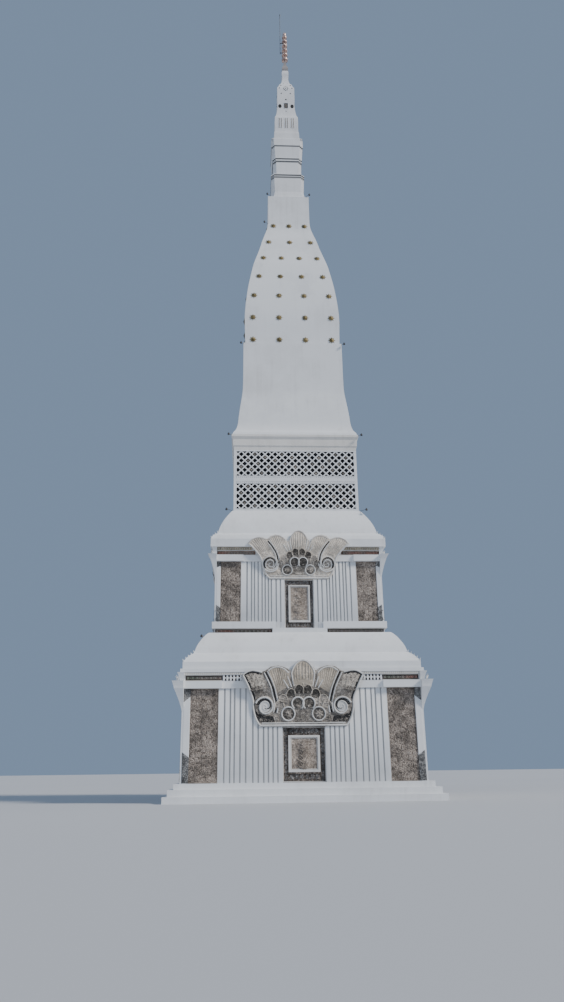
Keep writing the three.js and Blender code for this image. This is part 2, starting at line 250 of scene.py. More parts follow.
def twin_of(piece, place):
    """A copy of the piece with its own mesh, moved to a place."""
    twin = piece.copy()
    twin.data = piece.data.copy()
    twin.data.transform(place)
    if place.determinant() < 0:
        twin.data.flip_normals()
    bpy.context.scene.collection.objects.link(twin)
    return twin


def repeated(piece, places):
    """The piece at each place, joined in one."""
    twins = [twin_of(piece, place) for place in places]
    bpy.data.objects.remove(piece)
    return together(twins)


def mirrored(parts):
    """The parts and their mirror image across the tower's middle, joined in one."""
    piece = together(parts)
    return together([piece, twin_of(piece, ACROSS)])


def settle(piece, name, stands_for=(), crease=35):
    """Brings a finished piece to the model's size, names it and sets it on the tower."""
    piece.name = name
    piece.data.name = name
    piece.data.transform(Matrix.Scale(MODEL, 4))
    pick(piece)
    bpy.ops.object.shade_smooth_by_angle(angle=math.radians(crease))
    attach(piece, "root")
    if stands_for:
        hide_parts(*stands_for)
    return piece


def on_each_side(piece, name, stands_for=None, crease=35):
    """Settles a copy of a front piece on each of the four sides."""
    for turn, side in enumerate(SIDES):
        twin = twin_of(piece, turned(turn * QUARTER, "Z"))
        nodes = (f"{stands_for}_{side}",) if stands_for else ()
        settle(twin, f"{name}_{side}", nodes, crease)
    bpy.data.objects.remove(piece)


def real_box(name):
    """A CAD node's lowest and highest corners at the real size."""
    low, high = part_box(name)
    return low / MODEL, high / MODEL


def face_of(name, x, z):
    """How far forward the front of a stage lies at a place, or just inside its outline."""
    body = STAGES.get(name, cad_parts[name])
    for step in range(12):
        start = Vector((x * (1 - 0.01 * step) * MODEL, -9, z * MODEL))
        hit, place, *_ = body.ray_cast(start, Vector((0, 1, 0)))
        if hit:
            return place.y / MODEL
        z -= 0.02
    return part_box(name)[0].y / MODEL


# Places in the wall's plane

def between(first, last, t):
    return tuple(a + (b - a) * t for a, b in zip(first, last))


def around(centre, angle, reach, tall=1.0):
    """A place round a centre, by its angle in degrees and its reach."""
    turn = math.radians(angle)
    return centre[0] + reach * math.cos(turn), centre[1] + tall * reach * math.sin(turn)


def arc(centre, reach, first, last, steps=10, tall=1.0):
    """Places on an arc between two angles."""
    return [around(centre, first + (last - first) * i / steps, reach, tall) for i in range(steps + 1)]


def wound(centre, turns, step=15):
    """Places along a spiral given by angles and reaches."""
    places = []
    for first, last in zip(turns, turns[1:]):
        parts = max(1, round((last[0] - first[0]) / step))
        places += [around(centre, *between(first, last, k / parts)) for k in range(parts)]
    return [*places, around(centre, *turns[-1])]


def curve_through(points, step=0.12):
    """More points on a smooth line through these."""
    fine = []
    for i in range(len(points) - 1):
        before, here, there, after = (
            Vector(points[min(max(k, 0), len(points) - 1)]) for k in range(i - 1, i + 3)
        )
        parts = max(1, round((there - here).length / step))
        for t in (k / parts for k in range(parts)):
            bend = (2 * before - 5 * here + 4 * there - after) * t * t
            swing = (3 * here - before - 3 * there + after) * t**3
            fine.append(0.5 * (2 * here + (there - before) * t + bend + swing))
    return [*fine, Vector(points[-1])]


def along(line, t):
    """The place a share of the way along a line of close places."""
    return line[round(t * (len(line) - 1))]


def beside(points, gap):
    """The line moved sideways in the wall's plane."""
    line = []
    for i, (x, z) in enumerate(points):
        x0, z0 = points[max(i - 1, 0)]
        x1, z1 = points[min(i + 1, len(points) - 1)]
        length = math.hypot(x1 - x0, z1 - z0)
        line.append((x - gap * (z1 - z0) / length, z + gap * (x1 - x0) / length))
    return line


# Making shapes

def block(low, high, finish, soften=0.012):
    """A block between two corners with softened edges."""
    size = [b - a for a, b in zip(low, high)]
    middle = [(a + b) / 2 for a, b in zip(low, high)]
    piece = added(bpy.ops.mesh.primitive_cube_add, size=1, location=middle, scale=size)
    bpy.ops.object.transform_apply()
    return paint(bevelled(piece, soften), finish)


def blocks(spans, front, back, finish, soften=0.012):
    """Blocks from front to back over spans, each from x to x and from height to height."""
    return [block((x0, front, z0), (x1, back, z1), finish, soften) for x0, x1, z0, z1 in spans]


def drawn(corners, fill="NGON"):
    """A flat piece with its corners at these places."""
    piece = added(bpy.ops.mesh.primitive_circle_add, vertices=len(corners), radius=1, fill_type=fill)
    for vertex, corner in zip(piece.data.vertices, corners):
        vertex.co = corner
    return piece


def thickened(piece, depth, finish):
    """A flat upright piece drawn out to the back by a depth."""
    with shaping(piece, "FACE"):
        draw_out(0, depth, 0)
        turn_outwards()
    return paint(piece, finish)


def plate(outline, back, front, finish, soften=0.012):
    """An upright plate with an outline in x and z, its front edge softened."""
    piece = thickened(drawn([(x, back, z) for x, z in outline]), front - back, finish)
    return bevelled(piece, soften, lambda e: all(abs(v.co.y - front) < 1e-4 for v in e.verts))


def ridge(points, thick, finish, taper=(1, 1), sides=0, flat=0.7):
    """A rounded ridge drawn along points, and flattened where they lie in an upright plane."""
    drawing = added(bpy.ops.curve.primitive_bezier_curve_add).data
    drawing.splines.clear()
    line = drawing.splines.new("POLY")
    last = len(points) - 1
    line.points.add(last)
    for i, (point, place) in enumerate(zip(line.points, points)):
        point.co = (*place, 1)
        point.radius = taper[0] + (taper[1] - taper[0]) * i / last
    drawing.dimensions = "3D"
    drawing.bevel_depth = thick
    drawing.bevel_resolution = sides
    drawing.use_fill_caps = True
    bpy.ops.object.convert(target="MESH")
    piece = paint(bpy.context.active_object, finish)
    depths = [p[1] for p in points]
    if flat != 1 and max(depths) - min(depths) < 0.01:
        middle = sum(depths) / len(depths)
        placed(piece, moved(0, middle, 0) @ Matrix.Scale(flat, 4, (0, 1, 0)) @ moved(0, -middle, 0))
    return piece


def ball(segments, rings, radius=0.5):
    return added(bpy.ops.mesh.primitive_uv_sphere_add, segments=segments, ring_count=rings, radius=radius)


def petal(length, width, thick, finish, pinch=0.45, rounds=6):
    """A petal that points up from the origin and faces the front."""
    piece = ball(rounds, rounds - 1)
    with shaping(piece):
        stretch(width, thick, length)
        bpy.ops.transform.translate(value=(0, 0, length / 2))
        choose(piece, "VERT", lambda v: v.co.z > length * 0.6)
        stretch(pinch, 0.7, 1, (0, 0, length))
    return paint(piece, finish)


def face_front():
    """Turns what lies flat in edit mode upright, to face the front."""
    bpy.ops.transform.rotate(value=QUARTER, orient_axis="X", center_override=(0, 0, 0))


def boss(radius, height, finish, segments=8):
    """A low round boss that faces the front."""
    piece = ball(segments, 6 if segments > 6 else 4, radius)
    with shaping(piece):
        face_front()
        stretch(1, height / radius, 1)
    return paint(piece, finish)


def ring(radius, thick, finish):
    """A thin ring that faces the front."""
    sizes = {"major_radius": radius, "minor_radius": thick, "major_segments": 12, "minor_segments": 4}
    piece = added(bpy.ops.mesh.primitive_torus_add, **sizes)
    with shaping(piece):
        face_front()
    return paint(piece, finish)


def lozenge(width, height, thick, finish):
    """A small cut stone that faces the front."""
    piece = ball(4, 4)
    with shaping(piece):
        stretch(width, thick, height)
    return paint(piece, finish)


def spun(profile, finish, steps=24):
    """A profile in reach and height, spun round the axis."""
    piece = drawn([(reach, 0, z) for reach, z in profile], "NOTHING")
    with shaping(piece):
        bpy.ops.mesh.spin(steps=steps, angle=2 * math.pi, center=(0, 0, 0), axis=(0, 0, 1))
        select_whole()
        bpy.ops.mesh.remove_doubles(threshold=0.0005)
        turn_outwards()
    return paint(piece, finish)


def even_angles(count, first=0.0):
    return [first + 2 * math.pi * i / count for i in range(count)]


def fan(piece, angles, reach=0.0):
    """Copies of an upright piece turned about the origin, each pushed out a little."""
    return repeated(piece, [turned(a) @ moved(0, 0, reach) for a in angles])


# Finishes. Colours are mixed by masks, which go from nought to one.

def feed(socket, value):
    """Puts a value in a socket, or a link from another one."""
    if isinstance(value, bpy.types.NodeSocket):
        socket.id_data.links.new(value, socket)
    else:
        socket.default_value = value


def node(kind, group=None, **sockets):
    """A shader node, of a group if one is given, with values and at least one link in its sockets."""
    tree = next(value.id_data for value in sockets.values() if isinstance(value, bpy.types.NodeSocket))
    made = tree.nodes.new("ShaderNode" + kind)
    if group:
        made.node_tree = group
    for key, value in sockets.items():
        feed(made.inputs[key.replace("_", " ")], value)
    return made


def noise(place, scale, detail, **more):
    return node("TexNoise", Vector=place, Scale=scale, Detail=detail, **more).outputs[0]


def mixed(share, first, second):
    """Two colours mixed by a mask."""
    made = share.id_data.nodes.new("ShaderNodeMix")
    made.data_type = "RGBA"
    for i, value in ((0, share), (6, first), (7, second)):
        feed(made.inputs[i], (*value, 1) if isinstance(value, tuple) else value)
    return made.outputs[2]


def ranged(value, low, high, to_low=0.0, to_high=1.0):
    """A value stretched from one range to another."""
    ends = {"From_Min": low, "From_Max": high, "To_Min": to_low, "To_Max": to_high}
    return node("MapRange", Value=value, **ends).outputs[0]


def reckoned(kind, *values, clamp=False):
    """What an operation makes of one or two values."""
    made = values[0].id_data.nodes.new("ShaderNodeMath")
    made.operation = kind
    made.use_clamp = clamp
    for socket, value in zip(made.inputs, values):
        feed(socket, value)
    return made.outputs[0]


def product(first, second):
    return reckoned("MULTIPLY", first, second, clamp=True)


def total(first, second):
    return reckoned("ADD", first, second, clamp=True)


def shader_group(name, inputs, outputs):
    tree = bpy.data.node_groups.new(name, "ShaderNodeTree")
    for label, kind in inputs.items():
        tree.interface.new_socket(name=label, in_out="INPUT", socket_type="NodeSocket" + kind)
    for label in outputs:
        tree.interface.new_socket(name=label, in_out="OUTPUT", socket_type="NodeSocketFloat")
    entry = tree.nodes.new("NodeGroupInput")
    leave = tree.nodes.new("NodeGroupOutput")
    return tree, entry.outputs, leave.inputs


def make_weathering():
    """Cloudy grime, rain streaks that run down, and the float's fine grain."""
    tree, given, result = shader_group("plaster_weathering", {"Place": "Vector"}, ("Grime", "Height"))
    place = given["Place"]
    cloud = noise(place, 0.7, 5.0, Roughness=0.6)
    long_way = node("Mapping", Vector=place, Scale=(5.0, 5.0, 0.28)).outputs[0]
    runs = ranged(noise(long_way, 1.3, 5.0), 0.52, 0.74)
    streaks = product(runs, ranged(cloud, 0.35, 0.7))
    feed(result["Grime"], total(ranged(cloud, 0.48, 0.78), streaks))
    grain = product(noise(place, 26.0, 4.0), 0.35)
    feed(result["Height"], total(grain, cloud))
    return tree


def make_chiselling():
    """Close carving: small scalloped cells and their height, with crests picked out in random patches,
    which the finishes paint lighter as a painted highlight.
    """
    tree, given, result = shader_group(
        "close_carving", {"Place": "Vector", "Size": "Float"}, ("Crest", "Height")
    )
    place = given["Place"]
    drift = node("TexNoise", Vector=place, Scale=5.0, Detail=3.0).outputs["Color"]
    shifted = tree.nodes.new("ShaderNodeVectorMath")
    shifted.operation = "MULTIPLY_ADD"
    for socket, value in zip(shifted.inputs, (drift, (0.16, 0.16, 0.16), place)):
        feed(socket, value)
    cells = node("TexVoronoi", Vector=shifted.outputs[0], Scale=given["Size"])
    cells.feature = "SMOOTH_F1"
    fine = noise(place, 30.0, 4.0)
    wavy = reckoned("SINE", reckoned("MULTIPLY", cells.outputs[0], 14.0))
    height = product(ranged(wavy, -1.0, 1.0), ranged(fine, 0.2, 0.7, 0.5, 1.0))
    feed(result["Height"], height)
    feed(result["Crest"], product(height, ranged(fine, 0.45, 0.62)))
    return tree


WEATHERING = make_weathering()
CHISELLING = make_chiselling()


def new_finish(name, metallic=0.0):
    """A new material, and the place on the object in it."""
    material = bpy.data.materials.new(name)
    material.use_nodes = True
    nodes = material.node_tree.nodes
    nodes["Principled BSDF"].inputs["Metallic"].default_value = metallic
    return material, nodes.new("ShaderNodeTexCoord").outputs["Object"]


def completed(material, colour, roughness, height=None, strength=0.0, distance=0.0):
    """The material with its colour, its roughness and its fine relief, if it has one."""
    sockets = material.node_tree.nodes["Principled BSDF"].inputs
    feed(sockets["Base Color"], colour)
    feed(sockets["Roughness"], roughness)
    if height:
        bump = node("Bump", Height=height, Strength=strength, Distance=distance)
        feed(sockets["Normal"], bump.outputs[0])
    return material


def reach_from_axis(place, kind):
    """The larger or the smaller of the two distances from the tower's middle planes."""
    wide, deep = node("SeparateXYZ", Vector=place).outputs[:2]
    return reckoned(kind, reckoned("ABSOLUTE", wide), reckoned("ABSOLUTE", deep))


def height_at(place):
    return node("SeparateXYZ", Vector=place).outputs[2]


def level_mask(place, low, high, soft=0.02):
    """A mask that is full from one real height to another."""
    height = height_at(place)
    over = ranged(height, (low - soft) * MODEL, low * MODEL)
    return product(over, ranged(height, (high + soft) * MODEL, high * MODEL))


def plaster(name, clean, dirty, grime=0.5, groove=None, shadow_lines=()):
    """Lime plaster with grime and streaks, painted shade deeper in the grooves inside a given reach, and
    painted shadow lines at given heights.
    """
    material, place = new_finish(name)
    worn = node("Group", WEATHERING, Place=place).outputs
    colour = mixed(product(worn["Grime"], grime), clean, dirty)
    if groove:
        reach = reach_from_axis(place, "MAXIMUM")
        depth = ranged(reach, (groove - 0.02) * MODEL, (groove - 0.06) * MODEL)
        # Painted shade: the plaster greys the deeper it lies in a groove.
        colour = mixed(depth, colour, (0.40, 0.40, 0.40))
    for low, high in shadow_lines:
        # Painted shadow: a dark line at each of these heights.
        colour = mixed(level_mask(place, low, high), colour, (0.20, 0.20, 0.20))
    rough = ranged(worn["Grime"], 0.0, 1.0, 0.82, 0.95)
    return completed(material, colour, rough, worn["Height"], 0.35, 0.01)


def carved(name, deep, crest, size, strength=0.8, fade=0.5):
    """Carved brick or plaster: painted shade in the hollows, a painted highlight on the crests, and
    patches that have faded darker.
    """
    material, place = new_finish(name)
    cut = node("Group", CHISELLING, Place=place, Size=size).outputs
    worn = ranged(noise(place, 3.0, 6.0, Roughness=0.7), 0.42, 0.57)
    # Painted shade and highlight: darker in the carving's hollows, lighter on its crests.
    share = total(cut["Crest"], product(cut["Height"], 0.45))
    bright = mixed(share, deep, crest)
    dim = mixed(share, tuple(fade * c for c in deep), tuple(fade * c for c in crest))
    return completed(material, mixed(worn, dim, bright), 0.93, cut["Height"], strength, 0.012)


def pier_brick(name, pier):
    """Carved brick inside the pier's field, and white plaster on its edge and horn."""
    material, place = new_finish(name)
    worn = node("Group", WEATHERING, Place=place).outputs
    cut = node("Group", CHISELLING, Place=place, Size=14.0).outputs
    white = mixed(product(worn["Grime"], 0.42), CLEAN, DIRTY)
    # Painted highlight on the carving's crests, painted shade in its hollows.
    brick = mixed(cut["Crest"], *BRICK)
    edge, head = pier.field[1] * MODEL, pier.head * MODEL
    inside = ranged(reach_from_axis(place, "MINIMUM"), edge + 0.004, edge - 0.004)
    under = ranged(height_at(place), head + 0.004, head - 0.004)
    colour = mixed(product(inside, under), white, brick)
    return completed(material, colour, 0.92, worn["Height"], 0.35, 0.01)


def metal(name, colour, tarnish, roughness, metallic=1.0):
    """Metal with tarnish in patches."""
    material, place = new_finish(name, metallic)
    cloud = noise(place, 9.0, 5.0)
    patchy = mixed(ranged(cloud, 0.45, 0.72), colour, tarnish)
    rough = ranged(cloud, 0.3, 0.7, roughness - 0.08, roughness + 0.2)
    return completed(material, patchy, rough, cloud, 0.3, 0.003)


def mosaic(name, ground, first, second):
    """Small set pieces whose colour changes from one to the next."""
    material, place = new_finish(name)
    hue = noise(place, 1.1, 2.0)
    half = mixed(product(ranged(hue, 0.52, 0.6), 0.7), ground, first)
    both = mixed(product(ranged(hue, 0.46, 0.38), 0.7), half, second)
    return completed(material, both, 0.55, noise(place, 24.0, 3.0), 0.4, 0.004)


CLEAN, DIRTY = (0.80, 0.81, 0.82), (0.56, 0.56, 0.56)
# Carved brick from its hollows to its crests; the spread between them is painted shade and highlight.
BRICK = (0.147, 0.12, 0.101), (0.506, 0.429, 0.366)
WHITE = plaster("white_lime_plaster", CLEAN, DIRTY, 0.42)
HIGH_WHITE = plaster("weathered_high_plaster", (0.72, 0.725, 0.735), (0.48, 0.48, 0.48))
# The neck's plaster, with painted shadow lines under its fillets.
NECK_WHITE = plaster("neck_plaster_shadow_lines", (0.77, 0.775, 0.785), DIRTY, 0.45, shadow_lines=NECK_SHADOW_LINES)
RIM = plaster("pale_rim_plaster", (0.72, 0.71, 0.69), (0.44, 0.43, 0.41), 0.6)
FASCIA = plaster("stained_fascia_plaster", (0.77, 0.75, 0.715), (0.54, 0.52, 0.48), 0.6)
# Grey plaster for the reeds' grooves: painted shade.
GROOVE_SHADE = plaster("groove_shade_plaster", (0.43, 0.43, 0.435), (0.30, 0.30, 0.30), 0.6)
DARK_CAP = plaster("dark_cap_plaster", (0.30, 0.275, 0.27), (0.15, 0.14, 0.14), 0.8)
CROWN = plaster("weathered_crown_plaster", (0.64, 0.61, 0.575), (0.30, 0.29, 0.28), 0.9)
BEIGE = plaster("beige_fillet_plaster", (0.58, 0.54, 0.47), (0.36, 0.33, 0.29), 0.7)
SCROLL = carved("grey_scroll_ground", (0.273, 0.244, 0.212), (0.609, 0.547, 0.478), 15.0)
PALE_SCROLL = carved("pale_scroll_ground", (0.672, 0.597, 0.506), (0.892, 0.806, 0.695), 15.0, 0.5, 0.66)
SAND = carved("sandy_scroll_plaster", (0.525, 0.453, 0.363), (0.735, 0.642, 0.529), 15.0, 0.4, 0.66)
SHADE = carved("shaded_hollow", (0.126, 0.111, 0.097), (0.304, 0.274, 0.239), 15.0)
SLATE = carved("slate_grey_carving", (0.13, 0.13, 0.132), (0.42, 0.415, 0.405), 13.0)
FROND = carved("pale_frond_plaster", (0.798, 0.706, 0.603), (0.95, 0.886, 0.773), 18.0, 0.3, 0.72)
# The carved brick's ground is darker than its ridges: painted shade in the recesses between them.
RELIEF = carved("carved_brick_ground", *BRICK, 14.0)
VINE = carved("carved_brick_ridges", (0.386, 0.328, 0.278), (0.703, 0.607, 0.522), 20.0, 0.5)
LEAF_BRICK = carved("pale_leaf_brick", (0.328, 0.271, 0.225), (0.677, 0.579, 0.488), 20.0, 0.5)
DARK_BRICK = carved("dark_surround_brick", (0.065, 0.053, 0.046), (0.284, 0.239, 0.207), 16.0)
# Painted shade inside the inner scallops and the arch.
HOLLOW_SHADE = carved("scallop_painted_shade", (0.063, 0.057, 0.05), (0.263, 0.234, 0.202), 15.0, 0.6)
# Near-black painted shade, for deep grooves, hollows and openings.
DEEP_SHADE = carved("painted_deep_shade", (0.022, 0.022, 0.024), (0.075, 0.072, 0.07), 15.0, 0.6)
FRIEZE = carved("dark_frieze", (0.035, 0.028, 0.027), (0.13, 0.10, 0.09), 14.0, 0.6)
# Near-black painted shade of the hollow behind the lattice.
VOID_SHADE = carved("void_shade_board", (0.006, 0.007, 0.011), (0.012, 0.014, 0.02), 6.0, 0.2)
OCHRE = carved("ochre_fillet", (0.30, 0.24, 0.15), (0.54, 0.46, 0.32), 16.0, 0.5)
RUSSET = carved("russet_frieze", (0.13, 0.075, 0.06), (0.36, 0.24, 0.18), 14.0, 0.6)
MOSAIC = mosaic("frieze_mosaic", (0.25, 0.23, 0.20), (0.36, 0.15, 0.11), (0.15, 0.18, 0.13))
GILT = metal("gilt_rosettes", (0.30, 0.235, 0.12), (0.085, 0.08, 0.05), 0.5)
FILIGREE = metal("gilt_filigree", (0.73, 0.54, 0.46), (0.30, 0.232, 0.23), 0.36)
STEEL = metal("weathered_steel", (0.20, 0.205, 0.215), (0.10, 0.10, 0.105), 0.5)
DARK_METAL = metal("dark_lamp_metal", (0.05, 0.05, 0.055), (0.12, 0.11, 0.10), 0.5, 0.6)


def finish_cad_nodes():
    """Each CAD node gets its finish by the first two words of its name. Most are white."""
    finishes = {
        "lower_door": RELIEF,
        "upper_door": RELIEF,
        "lower_pediment": SCROLL,
        "upper_pediment": PALE_SCROLL,
        "neck_block": NECK_WHITE,
        "neck_slab": NECK_WHITE,
        "lightning_rod": STEEL,
        "umbrella": FILIGREE,
    }
    for level, pier in PIERS.items():
        wall = STOREY_WALLS[level]
        # The storeys' plaster, with painted shade in their grooves.
        finishes[level + "_storey"] = plaster(level + "_plaster_groove_shade", CLEAN, DIRTY, 0.42, wall)
        finishes[level + "_pier"] = pier_brick(level + "_pier_brick", pier)
    for name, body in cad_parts.items():
        for holder in body.material_slots:
            holder.material = finishes.get("_".join(name.split("_")[:2]), WHITE)


# Plastered stages with smooth curves

def square_profile(name):
    """A square stage's half-widths and heights from the bottom up, read from its CAD node."""
    levels = {}
    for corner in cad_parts[name].data.vertices:
        half = max(abs(corner.co.x), abs(corner.co.y)) / MODEL
        if half > 0.01:
            levels.setdefault(round(corner.co.z / MODEL, 3), set()).add(round(half, 3))
    profile = []
    for height in sorted(levels):
        last = profile[-1][0] if profile else 0
        profile += [(half, height) for half in sorted(levels[height], key=lambda h: abs(h - last))]
    return profile


def eased(profile, parts=4, sharp=math.radians(22)):
    """The profile with its gentle bends rounded and its sharp corners kept."""
    points = [Vector(p) for p in profile]

    def heading(i, segment):
        """Which way the curve goes at a point of a segment, and whether it is rounded there."""
        if 0 < i < len(points) - 1:
            if (points[i] - points[i - 1]).angle(points[i + 1] - points[i]) <= sharp:
                return (points[i + 1] - points[i - 1]).normalized(), True
        return (points[segment + 1] - points[segment]).normalized(), False

    fine = []
    for i, (here, there) in enumerate(zip(points, points[1:])):
        third = (there - here).length / 3
        (start, soft_start), (end, soft_end) = heading(i, i), heading(i + 1, i)
        steps = parts if soft_start or soft_end else 1
        fine += interpolate_bezier(here, here + start * third, there - end * third, there, steps + 1)[:-1]
    return [*fine, points[-1]]


def square_body(profile, finish):
    """A square body drawn up level by level from its foot."""
    half, foot = profile[0]
    piece = added(bpy.ops.mesh.primitive_plane_add, size=2 * half, location=(0, 0, foot))
    bpy.ops.object.transform_apply()
    with shaping(piece, "FACE"):
        for (before, low), (after, high) in zip(profile, profile[1:]):
            draw_out(0, 0, high - low)
            stretch(after / before, after / before, 1, (0, 0, high))
        turn_outwards()
    return paint(piece, finish)


def square_stage(name, finish=WHITE):
    """A plastered stage in place of its CAD node."""
    piece = square_body(eased(square_profile(name)), finish)
    STAGES[name] = settle(piece, name + "_plastered", (name,), 24)


# Reeds, with painted shade in the grooves between them, on the storeys' walls

def make_reeds(storey, wall):
    """A reed on each rib of the storey's CAD node, and a grey lining of painted shade in each of its
    grooves.
    """
    low, high = real_box(storey + "_storey")
    edges = sorted(
        {
            round(corner.co.x / MODEL, 3)
            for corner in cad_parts[storey + "_storey"].data.vertices
            if abs(corner.co.y / MODEL + wall) < 0.01 and corner.co.x > 0
        }
    )

    def on_front(edge):
        """Whether an upright edge is on the reed's front."""
        one, other = (corner.co for corner in edge.verts)
        return max(one.y, other.y) < -wall and abs(one.z - other.z) > 1

    parts = []
    for x0, x1 in zip(edges[::2], edges[1::2]):
        foot = DOOR_REED_FOOT if storey == "upper" and x1 < DOOR_REEDS else low.z
        reed = block((x0 + 0.008, -wall - REED, foot), (x1 - 0.008, -wall + 0.01, high.z), WHITE, 0.002)
        parts.append(bevelled(reed, REED_EDGE, on_front, 2))
    # Grey linings in the grooves between the reeds: painted shade.
    grooves = [(x0 - 0.02, x1 + 0.02, low.z, high.z) for x0, x1 in zip(edges[1:-1:2], edges[2::2])]
    parts += blocks(grooves, -wall - 0.012, -wall + 0.05, GROOVE_SHADE, 0.002)
    on_each_side(mirrored(parts), storey + "_wall_reeds")


# The lattice storey's openwork

def lattice_bars(foot, head, half, pitch, front):
    """One family of slanting bars, cut to the window."""
    height = head - foot
    wide, length = BAR_WIDTH / 2, height * math.sqrt(2) / 2 + 2 * BAR_WIDTH
    bar = block((-wide, front, -length), (wide, front + BAR_DEPTH, length), WHITE, 0.014)
    first = height / 2 - math.ceil((half + height) / pitch) * pitch
    count = math.ceil((2 * half + height) / pitch) + 4
    middles = [moved(first + i * pitch, 0, foot + height / 2) for i in range(count)]
    bars = repeated(bar, [middle @ turned(QUARTER / 2) for middle in middles])
    with shaping(bars, "FACE"):
        for place, way in (
            ((half, 0, 0), (1, 0, 0)),
            ((-half, 0, 0), (-1, 0, 0)),
            ((0, 0, head), (0, 0, 1)),
            ((0, 0, foot), (0, 0, -1)),
        ):
            select_whole()
            bpy.ops.mesh.bisect(plane_co=place, plane_no=way, use_fill=True, clear_outer=True)
    return bars


def lattice_motif():
    """A small four-petalled flower in a ring, which fills an opening."""
    leaves = fan(petal(0.10, 0.045, 0.04, SCROLL), even_angles(4), 0.015)
    return together([ring(0.06, 0.011, SCROLL), leaves, boss(0.03, 0.03, SCROLL, 6)])


def motif_places(foot, half, pitch, start, front):
    """The openings that a motif fills: every fourth one in a row, further along in each row."""
    openings = [
        ((start + 1.5 * row + 4 * step) * pitch, foot + (7 - row) * pitch / 2)
        for row in range(7)
        for step in range(-6, 7)
    ]
    return [spot(x, front, z) for x, z in openings if abs(x) < half - 0.2]


def lattice_row(foot, head, half, pitch, wall):
    """A row of crossing bars, with its edges."""
    bars = lattice_bars(foot, head, half, pitch, wall)
    level = ((-half, half, foot, foot + WINDOW_EDGE), (-half, half, head - WINDOW_EDGE, head))
    upright = ((-half, WINDOW_EDGE - half, foot, head), (half - WINDOW_EDGE, half, foot, head))
    return [
        bars,
        twin_of(bars, moved(0, 0.012, 0) @ ACROSS),
        *blocks(level, wall - 0.012, wall + 0.05, WHITE),
        *blocks(upright, wall - 0.008, wall + 0.05, WHITE),
    ]


def lattice_rail(half, wall, back):
    """The rail between the rows, with a level line cut in it."""
    (foot, head), (line_foot, line_head) = LATTICE_RAIL, RAIL_LINE
    rails = ((-half, half, foot, line_foot), (-half, half, line_head, head))
    line = (-half, half, line_foot - 0.02, line_head + 0.02)
    return [*blocks(rails, wall, back, WHITE, 0.015), *blocks([line], wall + 0.035, back, WHITE)]


def rail_beads(half, wall):
    """Two rows of beads along the rail."""
    foot, head = LATTICE_RAIL
    count = int(2 * half / BEAD_PITCH)
    row = [(i + 0.5) * BEAD_PITCH - count * BEAD_PITCH / 2 for i in range(count)]
    places = [spot(x, wall - 0.002, z) for z in (foot + 0.05, head - 0.06) for x in row]
    return repeated(boss(0.032, 0.03, WHITE, 5), places)


def make_lattice():
    """The openwork of each screen, and a near-black board of painted shade behind it."""
    low, high = real_box("lattice_screen_front")
    half, wall = high.x, low.y
    rail_foot, rail_head = LATTICE_RAIL
    pitch = (rail_foot - low.z) / 4
    parts, places = [], []
    for start, foot, head in ((1, low.z, rail_foot), (2, rail_head, high.z)):
        parts += lattice_row(foot, head, half, pitch, wall)
        places += motif_places(foot, half, pitch, start, wall + 0.035)
    parts += lattice_rail(half, wall, high.y - 0.005)
    parts += [repeated(lattice_motif(), places), rail_beads(half, wall)]
    on_each_side(together(parts), "lattice_openwork", "lattice_screen", 30)
    # Painted shade: a near-black board stands for the hollow behind the openwork.
    ground = block((-half, high.y - 0.03, low.z), (half, high.y - 0.004, high.z), VOID_SHADE)
    on_each_side(ground, "lattice_dark_interior")


# Rosettes on the shaft

def rosette():
    """A gilt flower: eight long petals, eight short ones between them, and a boss."""
    outer = fan(petal(0.16, 0.11, 0.10, GILT), even_angles(8), 0.06)
    inner = fan(petal(0.10, 0.08, 0.09, GILT), even_angles(8, math.pi / 8), 0.03)
    placed(inner, moved(0, -0.06, 0))
    middle = placed(boss(0.06, 0.07, GILT), moved(0, -0.09, 0))
    flower = together([outer, inner, middle, boss(0.15, 0.07, GILT)])
    return placed(flower, Matrix.Diagonal((1.2, 0.6, 1.2, 1)))


def make_rosettes():
    places = []
    for z, count, reach in ROSETTES:
        slope = face_of("bottle_shaft", 0, z + 0.2) - face_of("bottle_shaft", 0, z - 0.2)
        lean = turned(-math.atan2(slope, 0.4), "X")
        for i in range(count):
            x = reach * (2 * i / (count - 1) - 1)
            places.append(moved(x, face_of("bottle_shaft", x, z) - 0.015, z) @ lean)
    on_each_side(repeated(rosette(), places), "shaft_rosettes")


# Carved foliage

def curl(finish=VINE):
    """A curling tendril with a bud and three leaves, about 0.4 m across."""
    turns = wound((0, 0), ((-90, 0.17), (378, 0.05)), 46.8)
    line = ridge([(x, 0, z) for x, z in turns], 0.027, finish, (1.1, 0.7))
    parts = [line, boss(0.05, 0.045, finish, 5)]
    for angle, size in ((0.5, 1.0), (2.1, 0.85), (4.0, 1.1)):
        leaf = petal(0.12 * size, 0.08, 0.05, finish, 0.45, 4)
        parts.append(placed(leaf, turned(angle) @ moved(0, 0, 0.15)))
    return together(parts)


